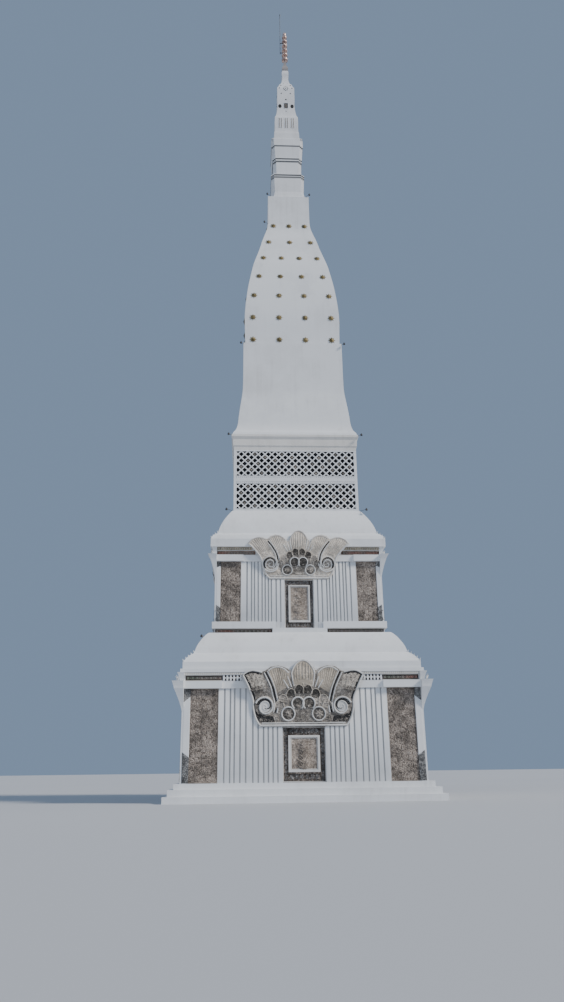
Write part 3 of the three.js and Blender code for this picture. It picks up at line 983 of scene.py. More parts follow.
def foliage(span, cells, y, seed, finish=VINE):
    """Tendrils over a field, curling left and right by turns, with stems between the columns."""
    (x0, x1, z0, z1), (columns, rows) = span, cells
    draw = random.Random(seed)
    wide, tall = (x1 - x0) / columns, (z1 - z0) / rows
    size = min(wide, tall) / 0.42
    places = []
    for i in range(columns):
        for k in range(rows):
            x = x0 + wide * (i + 0.5) + draw.uniform(-0.05, 0.05) * wide
            shift = 0.7 if i % 2 else 0.5
            z = min(z0 + tall * (k + shift + draw.uniform(-0.06, 0.06)), z1 - tall * 0.42)
            turn = draw.uniform(-0.5, 0.5) + (math.pi if k % 2 else 0)
            places.append(spot(x, y, z, turn, size * draw.uniform(0.9, 1.08), (i + k) % 2 == 0))
    parts = [repeated(curl(finish), places)]
    for middle in (x0 + wide * i for i in range(1, columns)):
        sways = (0.3 * wide * math.sin(math.pi * s / 2) for s in range(2 * rows + 1))
        stem = [(middle + sway, y, z0 + tall * s / 2) for s, sway in enumerate(sways)]
        parts.append(ridge(stem, 0.012, finish))
    return together(parts)


def pier_faces(storey, pier):
    """How far forward the carved field and the edge strip of a pier lie."""
    corner, middle = storey + "_pier_front_right", (pier.foot + pier.head) / 2
    return face_of(corner, pier.field[0] + 0.3, middle), face_of(corner, pier.edge - 0.05, middle)


def make_pier_reliefs(storey, pier):
    """The carved fields on both piers of a side, and the carved ends of their edge strips."""
    (inner, outer), edge, foot, head = pier.field, pier.edge, pier.foot, pier.head
    wall, strip = pier_faces(storey, pier)
    ground, face = wall - CARVING_DEPTH, strip - CARVING_DEPTH
    tendrils = (inner + 0.04, outer - 0.02, foot + 0.03, head - 0.03)
    borders = (
        (inner, inner + 0.035, foot, head),
        (inner, outer, head - 0.03, head),
        (inner, outer, foot, foot + 0.03),
    )
    (top_in, top_out), (foot_in, foot_out) = pier.band_top, pier.band_foot
    ends = (
        ((outer, top_in), (edge, top_out), (edge, head), (outer, head)),
        ((outer, foot), (edge, foot), (edge, foot_out), (outer, foot_in)),
    )
    leaves = ((head - 0.17, 0.0), (foot + 0.2, 0.0), (foot + 0.55, math.pi))
    middle = (outer + edge) / 2
    parts = [
        block((inner, ground, foot), (outer, wall, head), RELIEF),
        foliage(tendrils, pier.cells, ground - 0.004, 7),
        *blocks(borders, ground - 0.03, wall, VINE, 0.008),
        *(plate(outline, wall + 0.005, face, SLATE) for outline in ends),
        repeated(curl(SLATE), [spot(middle, face - 0.004, z, turn, 0.85) for z, turn in leaves]),
    ]
    on_each_side(mirrored(parts), storey + "_pier_relief")


def make_pier_bands(storey, pier):
    """The white band on both edge strips of a side, slanted at its ends."""
    wall, strip = pier_faces(storey, pier)
    outer, edge = pier.field[1], pier.edge
    (top_in, top_out), (foot_in, foot_out) = pier.band_top, pier.band_foot
    outline = ((outer, foot_in), (edge, foot_out), (edge, top_out), (outer, top_in))
    band = plate(outline, wall, strip - 0.012, WHITE, 0.02)
    on_each_side(mirrored([band]), storey + "_pier_band")


# Pediments. Places are on the right-hand half: out from the middle, and up from the ground.

UPPER_GABLE = SimpleNamespace(
    node="upper_pediment_front",
    size=1.0,
    middle=13.65,
    foot=12.88,
    bends=(13.65, 13.95, 14.60, 14.85),
    crown=((3.12, 15.02), (2.93, 15.25), (2.62, 15.38), (2.31, 15.37), (2.05, 15.26)),
    leaf_foot=((2.48, 14.40), (1.72, 14.64)),
    rim=(
        (3.14, 14.99), (2.88, 14.78), (2.60, 14.47), (2.36, 14.12),
        (2.27, 13.80), (2.20, 13.45), (2.06, 13.15), (1.84, 12.89),
    ),
    stem=((1.93, 15.16), (1.60, 14.75), (1.38, 14.35), (1.31, 13.98), (1.36, 13.68), (1.52, 13.46)),
    frond=((1.84, 15.31), (1.66, 15.45), (1.37, 15.52), (1.02, 15.42), (0.80, 15.16)),
    frond_foot=((1.30, 14.30), (0.66, 14.66)),
    volute=(1.77, 13.72),
    whorl=(
        (200, 0.50), (270, 0.44), (360, 0.48), (450, 0.50), (510, 0.46), (560, 0.40),
        (630, 0.335), (720, 0.30), (810, 0.265), (900, 0.21), (990, 0.155), (1080, 0.10), (1170, 0.05),
    ),
    whorl_thick=0.042,
    crescent=((325, 0.37), (360, 0.395), (400, 0.405), (450, 0.40), (490, 0.36), (525, 0.32)),
    # A darker disc under the upper whorl: painted shade between its turns.
    disc=0.345,
    disc_lift=0.004,
    disc_finish=SCROLL,
    frond_ground=None,
    flute_finish=FROND,
    crown_finish=CROWN,
    tendril_finish=FROND,
)
LOWER_GABLE = SimpleNamespace(
    node="lower_pediment_front",
    size=1.2,
    middle=4.95,
    foot=4.00,
    bends=(5.60, 6.05, 6.60),
    crown=((3.42, 6.78), (3.16, 6.94), (2.88, 7.00), (2.56, 6.95), (2.34, 6.89)),
    leaf_foot=((2.98, 6.10), (2.10, 6.25)),
    rim=(
        (3.43, 6.74), (3.20, 6.30), (2.98, 5.80), (2.86, 5.40),
        (2.84, 4.95), (2.74, 4.51), (2.60, 4.20), (2.44, 4.00),
    ),
    stem=((2.13, 6.92), (1.92, 6.50), (1.74, 6.08), (1.62, 5.62), (1.53, 5.16), (1.60, 4.70)),
    frond=((1.98, 6.98), (1.75, 7.14), (1.40, 7.19), (1.08, 7.08), (0.84, 6.86)),
    frond_foot=((1.50, 5.75), (0.78, 6.15)),
    volute=(2.17, 5.02),
    whorl=(
        (20, 0.56), (60, 0.53), (90, 0.51), (125, 0.475), (180, 0.43), (230, 0.40), (270, 0.375),
        (315, 0.34), (360, 0.305), (405, 0.285), (450, 0.28), (495, 0.26), (540, 0.225), (630, 0.175),
        (720, 0.125), (810, 0.085), (900, 0.045),
    ),
    whorl_thick=0.05,
    crescent=((135, 0.36), (153, 0.32), (180, 0.27), (200, 0.225), (240, 0.16), (286, 0.09)),
    disc=0.30,
    disc_lift=0.02,
    disc_finish=RIM,
    frond_ground=SAND,
    flute_finish=SAND,
    crown_finish=RIM,
    tendril_finish=SCROLL,
)
FLUTES = 9
# Shells, arcades, medallions and tendrils are given for the upper gable, from the middle of its arcade.
SHELL_FOOT = 0.98
SHELL_EDGE = ((0.55, 1.58), (0.45, 1.84), (0.29, 2.05), (0.14, 2.15), (0.0, 2.18))
SHELL_FLUTES = ((0.0, 2.08), (0.15, 2.03), (0.28, 1.92), (0.39, 1.76))
SHELL_LINES = (
    ((0.55, 1.58), (0.51, 1.30), (0.44, 0.98)),
    ((0.74, 1.44), (0.66, 1.20), (0.56, 0.94)),
    ((0.94, 1.28), (0.82, 1.08), (0.70, 0.88)),
)
SCALLOPS = ((1.13, 0.04), (0.95, 0.32), (0.58, 0.57), (0.20, 0.76))
ARCH, MEDALLION = (0.26, 0.20), (0.72, -0.27)
# The edge of the darker ground behind them.
ARCADE_GROUND = (
    (0.0, 0.98), (0.30, 0.95), (0.66, 0.80), (0.98, 0.56),
    (1.22, 0.24), (1.28, -0.04), (1.12, -0.36), (0.86, -0.60),
)
# Tendrils on the plain stretches: place, size and turn.
GROUND_TENDRILS = (
    (1.20, -0.42, 0.8, 0.8), (1.52, -0.60, 0.7, 2.4), (1.84, -0.58, 0.6, 4.4),
    (1.16, -0.66, 0.5, 5.0), (0.14, -0.16, 0.7, 0.0), (0.34, -0.34, 0.6, 3.9),
    (0.12, -0.42, 0.6, 2.0), (0.36, -0.60, 0.6, 5.2), (0.12, -0.66, 0.5, 1.0),
    (1.20, -0.12, 0.5, 3.3),
)
# The fields of painted shade by the lower gable's volute, and the tufts on them: place, turn and size.
LOWER_FOOT_FIELD = (
    (1.72, 4.50), (1.62, 4.18), (2.48, 4.18), (2.66, 4.50),
    (2.72, 4.78), (2.46, 4.62), (2.10, 4.52),
)
LOWER_HEAD_FIELD = ((2.55, 5.93), 0.25, 0, 330, 11, 0.8)
LOWER_TUFTS = (
    (2.55, 4.58, 0.6, 0.5), (2.40, 4.32, 2.0, 0.55), (2.16, 4.36, 3.4, 0.5), (1.92, 4.32, 5.0, 0.55),
    (2.62, 5.72, 1.0, 0.55), (2.42, 5.84, 2.6, 0.6), (2.66, 5.98, 4.1, 0.6), (2.42, 6.06, 5.2, 0.5),
)


def at(gable, *places):
    """Places given for the upper gable, on this one."""
    return [(gable.size * u, gable.middle + gable.size * w) for u, w in places]


def laid(gable, points, lift, column=None):
    """The points on the gable's face, or as far forward as it is in one column."""
    return [(x, face_of(gable.node, x if column is None else column, z) - lift, z) for x, z in points]


def set_on(gable, place, lift, turn=0.0, size=1.0, flip=False, column=None):
    """A spot on the gable's face."""
    return spot(*laid(gable, [place], lift, column)[0], turn, size, flip)


def line_on(gable, points, thick, finish, taper=(1, 1), lift=0.0, step=0.12):
    """A smooth line along the gable's face."""
    line = laid(gable, curve_through(points, step), lift)
    return ridge(line, thick * gable.size, finish, taper, 1, 1)


def patch(gable, outline, finish, lift=0.012, column=None):
    """A thin field laid on the gable's face, bent where the face bends there or in one column."""
    piece = drawn([(x, 0, z) for x, z in outline])
    with shaping(piece, "FACE"):
        for bend in gable.bends:
            select_whole()
            bpy.ops.mesh.bisect(plane_co=(0, 0, bend), plane_no=(0, 0, 1))
    for corner in piece.data.vertices:
        corner.co = laid(gable, [corner.co.xz], lift, column)[0]
    return thickened(piece, lift + (0.03 if column is None else 0.12), finish)


def flutes(gable, heads, feet, count, thick):
    """Ridges that fan from a foot up to a crown."""
    top = curve_through(heads, 0.03)
    parts = []
    for t in ((i + 0.5) / count for i in range(count)):
        head, foot = along(top, t), between(*feet, t)
        end = between(foot, head, 1 - 0.06 / math.hypot(head[0] - foot[0], head[1] - foot[1]))
        x, z = between(foot, end, 0.5)
        line = (foot, (x + 0.05 * (0.5 - t), z + 0.02), end)
        parts.append(line_on(gable, line, thick, gable.flute_finish, (0.5, 1.2), 0.0, 0.3))
    return parts


def gable_shell(gable):
    """The fluted shell in the middle, with the ground of the arcade under it."""
    edge, ground = at(gable, *SHELL_EDGE), at(gable, *ARCADE_GROUND)
    whole = [*edge, *((-x, z) for x, z in edge[-2::-1])]
    outline = [*ground, *((-x, z) for x, z in ground[:0:-1])]
    parts = [
        line_on(gable, whole, 0.034, gable.crown_finish),
        patch(gable, outline, SCROLL, 0.006, 0.0),
    ]
    if gable.frond_ground:
        foot = at(gable, (-0.44, SHELL_FOOT), (0.44, SHELL_FOOT))
        parts.append(patch(gable, [*foot, *whole], gable.frond_ground, 0.006))
    for u, w in (*SHELL_FLUTES, *((-u, w) for u, w in SHELL_FLUTES[1:])):
        line = at(gable, (u * 0.8, SHELL_FOOT), (u * 1.02, 1.4), (u, w))
        parts.append(line_on(gable, line, 0.036, gable.flute_finish, (0.6, 1.15)))
    for side in (-1, 1):
        for points in SHELL_LINES:
            parts.append(line_on(gable, at(gable, *((side * u, w) for u, w in points)), 0.028, RIM))
    return parts


def leaf_foliage(gable):
    """Close foliage over the right-hand leaf."""
    top = curve_through(gable.crown, 0.03)
    places = []
    for row in range(5):
        for i in range(4):
            t = (i + 0.6 + 0.2 * (row % 2)) / 4.4
            place = between(between(*gable.leaf_foot, t), along(top, t), 0.04 + 0.19 * row)
            places.append(set_on(gable, place, 0.004, 1.3 * i + 2.1 * row, 0.52, row % 2 == 0))
    return repeated(curl(FROND), places)


def gable_leaves(gable):
    """The right-hand leaf and frond, with the painted deep shade of the stem's groove between them."""
    if gable.frond_ground:
        field = [*gable.frond, *gable.frond_foot[::-1]]
        parts = [patch(gable, field, gable.frond_ground, 0.006), leaf_foliage(gable)]
    else:
        parts = flutes(gable, gable.crown, gable.leaf_foot, FLUTES, 0.03)
    parts += flutes(gable, gable.frond, gable.frond_foot, FLUTES + 1, 0.028)
    sides = [beside(gable.stem, gap * gable.size) for gap in (-0.085, 0.085)]
    return [
        *parts,
        line_on(gable, gable.rim, 0.046, RIM),
        line_on(gable, gable.crown, 0.036, gable.crown_finish),
        line_on(gable, gable.frond, 0.034, gable.crown_finish),
        line_on(gable, gable.stem, 0.05, DEEP_SHADE, (0.8, 1.0), -0.018),
        *(line_on(gable, side, 0.034, RIM, (0.8, 1.0)) for side in sides),
    ]


def gable_volute(gable):
    """The right-hand volute: a pale whorl on a disc, with a crescent of painted deep shade between its
    turns.
    """
    centre, lift = gable.volute, gable.disc_lift
    crescent = laid(gable, wound(centre, gable.crescent), lift - 0.018)
    whorl = laid(gable, wound(centre, gable.whorl), lift / 2)
    return [
        patch(gable, arc(centre, gable.disc, 0, 345, 23), gable.disc_finish, lift),
        ridge(crescent, 0.055, DEEP_SHADE, (1.2, 0.6), 1, 1),
        ridge(whorl, gable.whorl_thick, RIM, (1.1, 0.6), 1, 1),
    ]


def dark_leaf_border(gable):
    """The lower gable's borders and grounds of painted shade, with foliage over them."""
    centre = gable.volute
    edge = curve_through([*gable.crown[::-1], *gable.rim[1:4]], 0.15)
    border = [*beside(edge, -0.04), *beside(edge, -0.15)[::-1]]
    crescent = [*arc(centre, 0.50, 15, 150, 12), *arc(centre, 0.31, 15, 150, 12)[::-1]]
    turns = (1.2, 0.9, 0.5, 0.1, -0.3, -0.7, -1.1)
    leaves = [
        set_on(gable, place, 0.015, turn, 0.8)
        for place, turn in zip(arc(centre, 0.405, 25, 140, 6), turns)
    ]
    tufts = [set_on(gable, (x, z), 0.015, turn, size) for x, z, turn, size in LOWER_TUFTS]
    return [
        patch(gable, border, DEEP_SHADE),
        patch(gable, crescent, DEEP_SHADE, 0.014),
        patch(gable, arc(*LOWER_HEAD_FIELD), SHADE, 0.01),
        patch(gable, LOWER_FOOT_FIELD, DEEP_SHADE),
        repeated(petal(0.14, 0.07, 0.04, SLATE), leaves),
        repeated(curl(SCROLL), tufts),
    ]


def gable_arcade(gable):
    """The right-hand half of the arcade: domes round an arch and a medallion, each with painted shade
    inside its rim.
    """
    size = gable.size
    parts = []
    for place, radius, tall, first, last, thick, lift, hollow, edge in (
        *((p, 0.222, 1.3, -25, 205, 0.015, 0.014, SCROLL, PALE_SCROLL) for p in SCALLOPS[:2]),
        *((p, 0.222, 1.3, -25, 205, 0.015, 0.014, HOLLOW_SHADE, PALE_SCROLL) for p in SCALLOPS[2:]),
        (ARCH, 0.285, 1.0, -50, 230, 0.034, 0.024, HOLLOW_SHADE, RIM),
        (MEDALLION, 0.31, 1.0, -90, 270, 0.034, 0.024, SHADE, RIM),
    ):
        centre = at(gable, place)[0]
        inside = arc(centre, (radius - 0.01) * size, first, min(last, 255), 14, tall)
        rim = laid(gable, arc(centre, radius * size, first, last, 16, tall), lift, 0.0)
        parts.append(patch(gable, inside, hollow, lift, 0.0))
        parts.append(ridge(rim, thick * size, edge, (1, 1), 1, 1))
    places = []
    for place, share in ((ARCH, 0.85), *((p, 0.45) for p in SCALLOPS)):
        x, z = at(gable, place)[0]
        low = (x, z - 0.2 * share * size)
        places.append(set_on(gable, low, 0.035, 0, share * size, column=0.0))
    spray = fan(petal(0.16, 0.07, 0.05, SCROLL), (-0.9, -0.45, 0.0, 0.45, 0.9))
    petals = fan(petal(0.20, 0.13, 0.07, SCROLL), even_angles(7), 0.03)
    flower = together([petals, boss(0.07, 0.06, SCROLL)])
    middle = set_on(gable, at(gable, MEDALLION)[0], 0.03, 0.2, size, column=0.0)
    return [*parts, repeated(spray, places), placed(flower, middle)]


def gable_ground(gable):
    """Tendrils on the plain stretches of the right-hand half."""
    size = gable.size
    places = [
        set_on(gable, at(gable, (u, w))[0], 0.002, turn, share * size)
        for u, w, share, turn in GROUND_TENDRILS
    ]
    (x0, z0), (x1, z1) = gable.leaf_foot
    lowest = gable.volute[1] + 0.68 * size
    for i in range(4):
        x, z = between((x0 - 0.12, z0 - 0.1), (x1 + 0.1, z1 - 0.12), i / 3)
        y = face_of(gable.node, x, z) - 0.002
        places.append(spot(x, y, max(z, lowest), i, 0.6 * size))
    return repeated(curl(gable.tendril_finish), places)


def make_pediment(gable, more=()):
    end, foot = gable.rim[-1][0], gable.foot
    right = [
        *gable_leaves(gable),
        *gable_volute(gable),
        *gable_arcade(gable),
        gable_ground(gable),
        *more,
        line_on(gable, ((end, foot), (0.0, foot)), 0.05, RIM, step=0.4),
        line_on(gable, ((end - 0.08, foot + 0.13), (0.0, foot + 0.13)), 0.026, RIM, step=0.4),
    ]
    whole = together([mirrored(right), *gable_shell(gable)])
    on_each_side(whole, gable.node.replace("_front", "_carving"), None, 50)


# False doors. Their measures are for a door 0.90 m wide on each side of its middle.

DOOR_HALF = 0.90
# The main frame: its reach as a share of the half-width, how far its foot and head are from the door's,
# and how wide it is. Then how far inside it the slim one lies.
FRAME_REACH, FRAME_FOOT, FRAME_HEAD, FRAME_WIDTH = 0.735, 0.41, 0.36, 0.095
SLIM_INSET = (0.105, 0.085)


def frame_round(reach, foot, head, thick, back, front):
    """A raised rectangular frame."""
    tuck = 0.4 * thick
    level = ((-reach, reach, head - thick, head), (-reach, reach, foot, foot + thick))
    upright = (
        (-reach + 0.002, -reach + thick, foot + tuck, head - tuck),
        (reach - thick, reach - 0.002, foot + tuck, head - tuck),
    )
    return blocks(level, front, back, RIM) + blocks(upright, front + 0.002, back, RIM)


def door_carving(outer, inner, size, face, filling):
    """Foliage on dark brick round the main frame, and sprays on a pale filling inside it."""
    (half, bottom, top), (reach, foot, head) = outer, inner
    inside = (0.03, reach - 0.14 * size, foot + 0.12, head - 0.12)
    surround = (
        (reach - 0.02, half - 0.01, bottom + 0.01, top - 0.01),
        (0.0, reach, head, top - 0.01),
        (0.0, reach, bottom + 0.01, foot),
    )
    leaf = (0.0, reach - 0.02, foot + 0.02, head - 0.02)
    carving = face - 0.004
    right = [
        foliage((reach + 0.02, half - 0.02, bottom + 0.06, top - 0.06), (1, 14), carving, 3, SLATE),
        foliage((0.02, reach, top - 0.32 * size, top - 0.04), (3, 1), carving, 4, SLATE),
        foliage((0.02, reach, bottom + 0.04, bottom + 0.38 * size), (3, 1), carving, 6, SLATE),
        foliage(inside, (3, 11), filling - 0.004, 5, LEAF_BRICK),
        *blocks(surround, face - 0.003, face + 0.02, DARK_BRICK, 0.001),
        *blocks([leaf], filling - 0.003, filling + 0.01, LEAF_BRICK, 0.001),
    ]
    spray = fan(petal(0.40, 0.10, 0.07, LEAF_BRICK), (-1.0, -0.6, -0.25, 0.0, 0.25, 0.6, 1.0))
    first, rise = foot + 0.12, (head - foot - 0.5 * size) / 4
    places = [spot(0, filling - 0.03, first + rise * i, 0, size * (1 - 0.08 * i)) for i in range(5)]
    return together([mirrored(right), repeated(spray, places)])


def door_frames(outer, inner, size, face):
    """The main frame, a slim one inside it, and one along the door's edge."""
    (half, bottom, top), (reach, foot, head) = outer, inner
    aside, inwards = (share * size for share in SLIM_INSET)
    back = face + 0.01
    frames = [
        *frame_round(reach, foot - 0.02, head + 0.02, FRAME_WIDTH * size, back, face - 0.07),
        *frame_round(reach - aside, foot + inwards, head - inwards, 0.035, back, face - 0.035),
        *frame_round(half - 0.01, bottom + 0.02, top - 0.02, 0.03, back, face - 0.05),
    ]
    return together(frames)


def make_door(storey):
    """A door's carving and frames, from the half-width, foot and head of the door and its main frame."""
    name = storey + "_door_front"
    low, high = real_box(name)
    size = high.x / DOOR_HALF
    outer = (high.x, low.z, high.z)
    inner = (high.x * FRAME_REACH, low.z + FRAME_FOOT * size, high.z - FRAME_HEAD * size)
    face = face_of(name, high.x - 0.05, low.z + 0.2)
    filling = face_of(name, 0.0, (inner[1] + inner[2]) / 2)
    carving = door_carving(outer, inner, size, face, filling)
    on_each_side(carving, storey + "_door_carving")
    on_each_side(door_frames(outer, inner, size, face), storey + "_door_frame")


# Friezes, posts and corner ornaments. A span goes from x to x and from height to height.

def face_at(node_name, span):
    """How far forward a stage is in the middle of a span."""
    x0, x1, z0, z1 = span
    return face_of(node_name, (x0 + x1) / 2, (z0 + z1) / 2)


def frieze_row(node_name, span, pitch, board=FRIEZE):
    """A dark board with small set flowers and lozenges along it, on the right-hand side."""
    x0, x1, z0, z1 = span
    y, tall, middle = face_at(node_name, span), z1 - z0, (z0 + z1) / 2
    count = int((x1 - x0) / pitch)
    centres = [x0 + pitch * (i + 0.5) + (x1 - x0 - count * pitch) / 2 for i in range(count)]
    petals = fan(petal(tall * 0.3, tall * 0.26, 0.03, MOSAIC), even_angles(4, math.pi / 4), tall * 0.08)
    flower = together([petals, boss(tall * 0.12, 0.03, MOSAIC, 6)])
    drop = lozenge(pitch * 0.22, tall * 0.34, 0.03, MOSAIC)
    edges = ((x0, x1, z0, z0 + 0.022), (x0, x1, z1 - 0.022, z1))
    return [
        *blocks([span], y - 0.012, y + 0.002, board, 0.005),
        repeated(flower, [spot(x, y - 0.016, middle) for x in centres]),
        repeated(drop, [spot(x + pitch / 2, y - 0.014, middle) for x in centres[:-1]]),
        *blocks(edges, y - 0.03, y, BEIGE, 0.005),
    ]


def fillet(node_name, span, pitch, finish=OCHRE):
    """A fillet with a row of small upright leaves on it."""
    x0, x1, z0, z1 = span
    foot, height = z0 + 0.02, 0.8 * (z1 - z0)
    y, leaf_y = face_at(node_name, span), face_at(node_name, (x0, x1, foot, foot + height))
    leaf = petal(height, pitch * 0.75, 0.03, BEIGE)
    places = [spot(x0 + pitch * (i + 0.5), leaf_y - 0.008, foot) for i in range(int((x1 - x0) / pitch))]
    return [*blocks([span], y - 0.008, y + 0.002, finish, 0.003), repeated(leaf, places)]


def post_row(node_name, span, count):
    """Small posts with two levels of dark squares between them."""
    x0, x1, z0, z1 = span
    y, middle = face_at(node_name, span), (z0 + z1) / 2
    wide = (x1 - x0) / (2 * count + 1)
    starts = [x0 + 2 * i * wide for i in range(count + 1)]
    posts = [(start, min(start + wide, x1), z0, z1) for start in starts]
    return [
        *blocks([span], y - 0.01, y + 0.002, FRIEZE, 0.004),
        *blocks(posts, y - 0.06, y, WHITE, 0.01),
        *blocks([(x0, x1, middle - 0.03, middle + 0.03)], y - 0.05, y, WHITE, 0.01),
    ]


def make_friezes():
    lower = [
        *frieze_row("lower_cornice", (4.58, 6.70, 6.48, 6.78), 0.26),
        *post_row("lower_cornice", (3.50, 4.56, 6.47, 6.79), 5),
        *fillet("lower_cornice", (3.50, 6.90, 6.81, 6.94), 0.12, FASCIA),
    ]
    upper = [
        *frieze_row("upper_cornice", (2.70, 5.12, 14.37, 14.63), 0.19, RUSSET),
        *fillet("upper_cornice", (2.90, 5.28, 14.66, 14.84), 0.11),
    ]
    base = frieze_row("upper_base", (1.68, 5.14, 9.47, 9.73), 0.245)
    for name, parts in (("lower_cornice", lower), ("upper_cornice", upper), ("upper_base", base)):
        on_each_side(mirrored(parts), name + "_frieze")


def corner_leaf(height):
    """A flared leaf for a corner: three petals from one foot."""
    parts = []
    for lean, size in ((-0.45, 0.8), (0.45, 0.8), (0.0, 1.0)):
        parts.append(placed(petal(height * size, height * 0.42, 0.07, RIM, 0.3), turned(lean)))
    return together(parts)


def make_corner_leaves():
    """Leaves on the cornices' horns, and teeth up the hips of both roofs' lips."""

    def on_diagonal(reach, z, lean):
        return moved(reach, -reach, z) @ turned(QUARTER / 2, "Z") @ turned(lean, "X")

    for storey, horn, horn_foot, height, lip, teeth in (
        ("lower", 7.10, 6.48, 0.34, ((6.86, 7.56), (6.30, 8.12)), 5),
        ("upper", 5.36, 14.38, 0.28, ((5.47, 15.37), (5.10, 15.82)), 4),
    ):
        leaf = placed(corner_leaf(height), on_diagonal(horn, horn_foot, 0.35))
        spots = [between(*lip, i / (teeth - 1)) for i in range(teeth)]
        places = [on_diagonal(reach - 0.05, z - 0.05, 0.5) for reach, z in spots]
        row = repeated(petal(0.24, 0.12, 0.09, WHITE, 0.3), places)
        whole = repeated(together([leaf, row]), [turned(turn * QUARTER, "Z") for turn in range(4)])
        settle(whole, storey + "_corner_leaves")


# Spire details

# The small window: its opening and the lighter shade in it, both painted shade, and its frame, by span,
# finish and how far they stand out.
SPIRE_WINDOW = (
    (-0.18, 0.18, 55.94, 56.60, DEEP_SHADE, 0.006),
    (-0.09, 0.09, 56.05, 56.48, SHADE, 0.014),
    (-0.20, 0.20, 55.91, 55.95, WHITE, 0.022),
    (-0.20, 0.20, 56.59, 56.63, WHITE, 0.022),
    (-0.20, -0.17, 55.93, 56.61, WHITE, 0.022),
    (0.17, 0.20, 55.93, 56.61, WHITE, 0.022),
)


def spire_plate(x0, x1, z0, z1, finish, proud, soften=0.008):
    """A thin plate that leans as the spire's face does."""
    x, middle = (x0 + x1) / 2, (z0 + z1) / 2
    lean = math.atan2(face_of("spire", x, z1) - face_of("spire", x, z0), z1 - z0)
    piece = block((x0, -proud, z0), (x1, 0.03, z1), finish, soften)
    place = moved(0, face_of("spire", x, middle), middle) @ turned(-lean, "X") @ moved(0, 0, -middle)
    return placed(piece, place)


def spire_dots(x, z, radius, taller=1.0):
    """A dot of painted deep shade on the spire, or a pair of them."""
    dots = []
    for side in (-1, 1) if x else (1,):
        dot = boss(radius, 0.02, DEEP_SHADE, 8 if radius < 0.1 else 16)
        place = moved(side * x, face_of("spire", side * x, z), z)
        dots.append(placed(dot, place @ Matrix.Scale(taller, 4, (0, 0, 1))))
    return dots


def make_spire_details():
    """Grooves, small windows, dots with a ring of dots round one of them, and the cap."""
    parts = []
    for x in (side * reach for reach in SPIRE_SLOTS for side in (-1, 1)):
        # Painted shade: a grey strip in each groove.
        parts.append(spire_plate(x - 0.036, x + 0.036, *SLOT_SPAN, SCROLL, 0.003, 0.001))
        for line in (x - 0.05, x + 0.05):
            parts.append(spire_plate(line - 0.016, line + 0.016, *SLOT_SPAN, WHITE, 0.018, 0.004))
    for *span, finish, proud in SPIRE_WINDOW:
        parts.append(spire_plate(*span, finish, proud))
    for dot in (*SPIRE_DOTS, SPIRE_WINDOWS):
        parts += spire_dots(*dot)
    height, wide, tall, radius = DOT_RING
    around_star = arc((0.0, height), wide, 0, 315, 7, tall / wide)
    places = [moved(x, face_of("spire", x, z), z) for x, z in around_star]
    parts.append(repeated(boss(radius, 0.02, DEEP_SHADE), places))
    on_each_side(together(parts), "spire_openings")
    settle(square_body(eased(SPIRE_CAP), DARK_CAP), "spire_cap", (), 24)


# The umbrella, the rod and the lamps

def round_axis(piece, count, reach, z, lean=0.0, first=0.0):
    """Copies of a piece round the axis, each at the same reach, height and lean."""
    place = moved(0, -reach, z) @ turned(lean, "X")
    return repeated(piece, [turned(angle, "Z") @ place for angle in even_angles(count, first)])


def umbrella_tier(reach, rim, tall):
    """A tier: an open cup, a crown of leaves round its edge and small drops under it."""
    cup = (
        (0.03, rim + 0.02), (reach * 0.86, rim + 0.03), (reach * 0.98, rim),
        (reach * 0.98, rim + 0.05), (reach * 0.80, rim + 0.4 * tall),
        (reach * 0.50, rim + 0.85 * tall), (0.09, rim + tall), (0.03, rim + tall),
    )
    leaf, drop = petal(0.16, 0.085, 0.03, FILIGREE, 0.3), petal(0.07, 0.045, 0.03, FILIGREE, 0.4)
    return [
        spun(cup, FILIGREE),
        round_axis(leaf, 12, reach * 0.93, rim + 0.02, 0.1),
        round_axis(drop, 12, reach * 0.93, rim + 0.02, math.pi, math.pi / 12),
    ]


def make_umbrella():
    """The umbrella's tiers, its stem and its bud."""
    low, high = real_box("umbrella")
    parts = []
    for reach, rise, tall in UMBRELLA_TIERS:
        parts += umbrella_tier(reach, low.z + rise, tall)
    stem = [(reach, low.z + rise) for reach, rise in STEM_FOOT]
    stem += [(reach, high.z + rise) for reach, rise in STEM_TIP]
    parts.append(round_axis(petal(0.40, 0.10, 0.05, FILIGREE, 0.5), 9, 0.14, high.z - 0.44))
    parts.append(spun(stem, FILIGREE, 16))
    settle(together(parts), "umbrella_tiers", ("umbrella",))


def make_rod_knob():
    low, high = real_box("lightning_rod")
    knob = placed(spun(ROD_KNOB, STEEL, 10), moved(low.x + 0.05, 0, high.z))
    settle(knob, "rod_knob")


def corner_lamp(z, tip):
    """A small dark lamp on a short arm outside the right-hand front corner."""
    points = ((tip - LAMP_ARM, LAMP_ARM - tip, z), (tip, -tip, z), (tip, -tip, z + 0.05))
    arm = ridge(points, 0.014, DARK_METAL, sides=1)
    return together([arm, placed(spun(LAMP, DARK_METAL, 10), moved(tip, -tip, z + 0.02))])


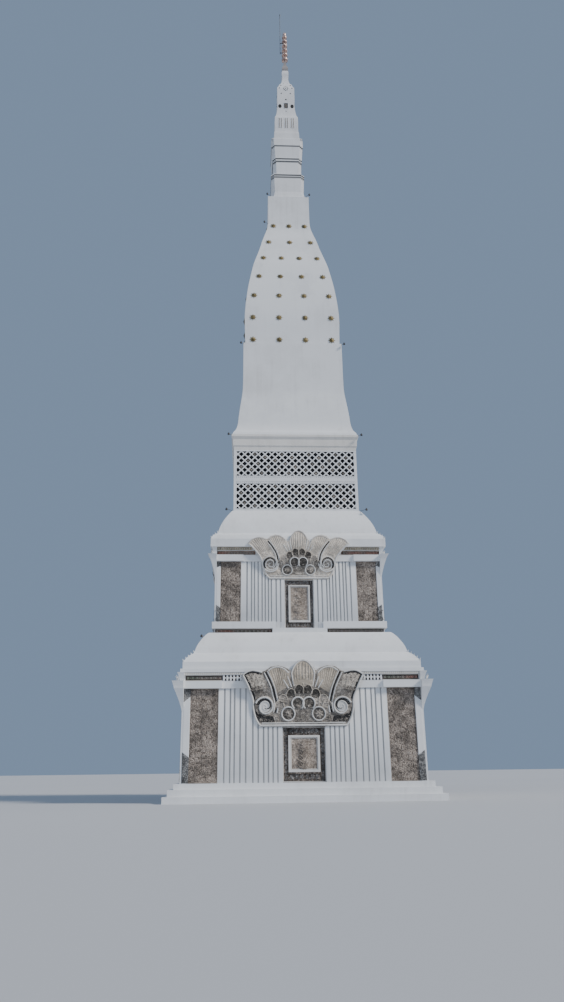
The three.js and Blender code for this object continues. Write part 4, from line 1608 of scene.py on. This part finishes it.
def make_lamps():
    pairs = mirrored([corner_lamp(z, tip) for z, tip in LAMPS])
    lone = together([corner_lamp(z, tip) for z, tip in LONE_LAMPS])
    settle(together([pairs, repeated(lone, [ACROSS])]), "corner_lamps")


# The studio

def make_studio():
    floor = added(bpy.ops.mesh.primitive_plane_add, size=900)
    floor.name = "studio_floor"
    pale, place = new_finish("pale_floor")
    tone = mixed(noise(place, 0.05, 2.0), (0.50, 0.51, 0.53), (0.54, 0.55, 0.57))
    paint(floor, completed(pale, tone, 0.9))
    world = bpy.context.scene.world or bpy.data.worlds.new("soft_sky")
    bpy.context.scene.world = world
    world.use_nodes = True
    sky = world.node_tree.nodes["Background"]
    sky.inputs["Color"].default_value = (0.40, 0.55, 0.80, 1)
    sky.inputs["Strength"].default_value = 0.5
    for name, turn, tilt, energy, spread, colour in LIGHTS:
        lamp = added(bpy.ops.object.light_add, type="SUN")
        lamp.name = name
        lamp.data.energy = energy
        lamp.data.angle = math.radians(spread)
        lamp.data.color = colour
        lamp.rotation_euler = (math.radians(tilt), 0, math.radians(turn))


def make_camera():
    """The photograph's view."""
    camera = added(bpy.ops.object.camera_add)
    camera.name = "photograph_view"
    camera.data.lens = LENS
    camera.data.clip_end = 1000
    turn = turned(-YAW, "Z") @ turned(QUARTER + PITCH, "X") @ turned(ROLL, "Z")
    camera.matrix_world = moved(*Vector(EYE) * MODEL) @ turn
    bpy.context.scene.camera = camera


make_camera()
make_studio()
finish_cad_nodes()
for stage_name in ("lower_roof", "upper_roof", "shaft_foot", "bottle_shaft"):
    square_stage(stage_name)
square_stage("spire", HIGH_WHITE)
square_stage("lattice_cornice", FASCIA)
for storey_name, wall_reach in STOREY_WALLS.items():
    make_reeds(storey_name, wall_reach)
make_lattice()
make_rosettes()
for storey_name, corner_pier in PIERS.items():
    make_pier_reliefs(storey_name, corner_pier)
    make_pier_bands(storey_name, corner_pier)
make_pediment(UPPER_GABLE)
make_pediment(LOWER_GABLE, dark_leaf_border(LOWER_GABLE))
for storey_name in STOREY_WALLS:
    make_door(storey_name)
make_friezes()
make_corner_leaves()
make_spire_details()
make_umbrella()
make_rod_knob()
make_lamps()

bpy.context.view_layer.update()
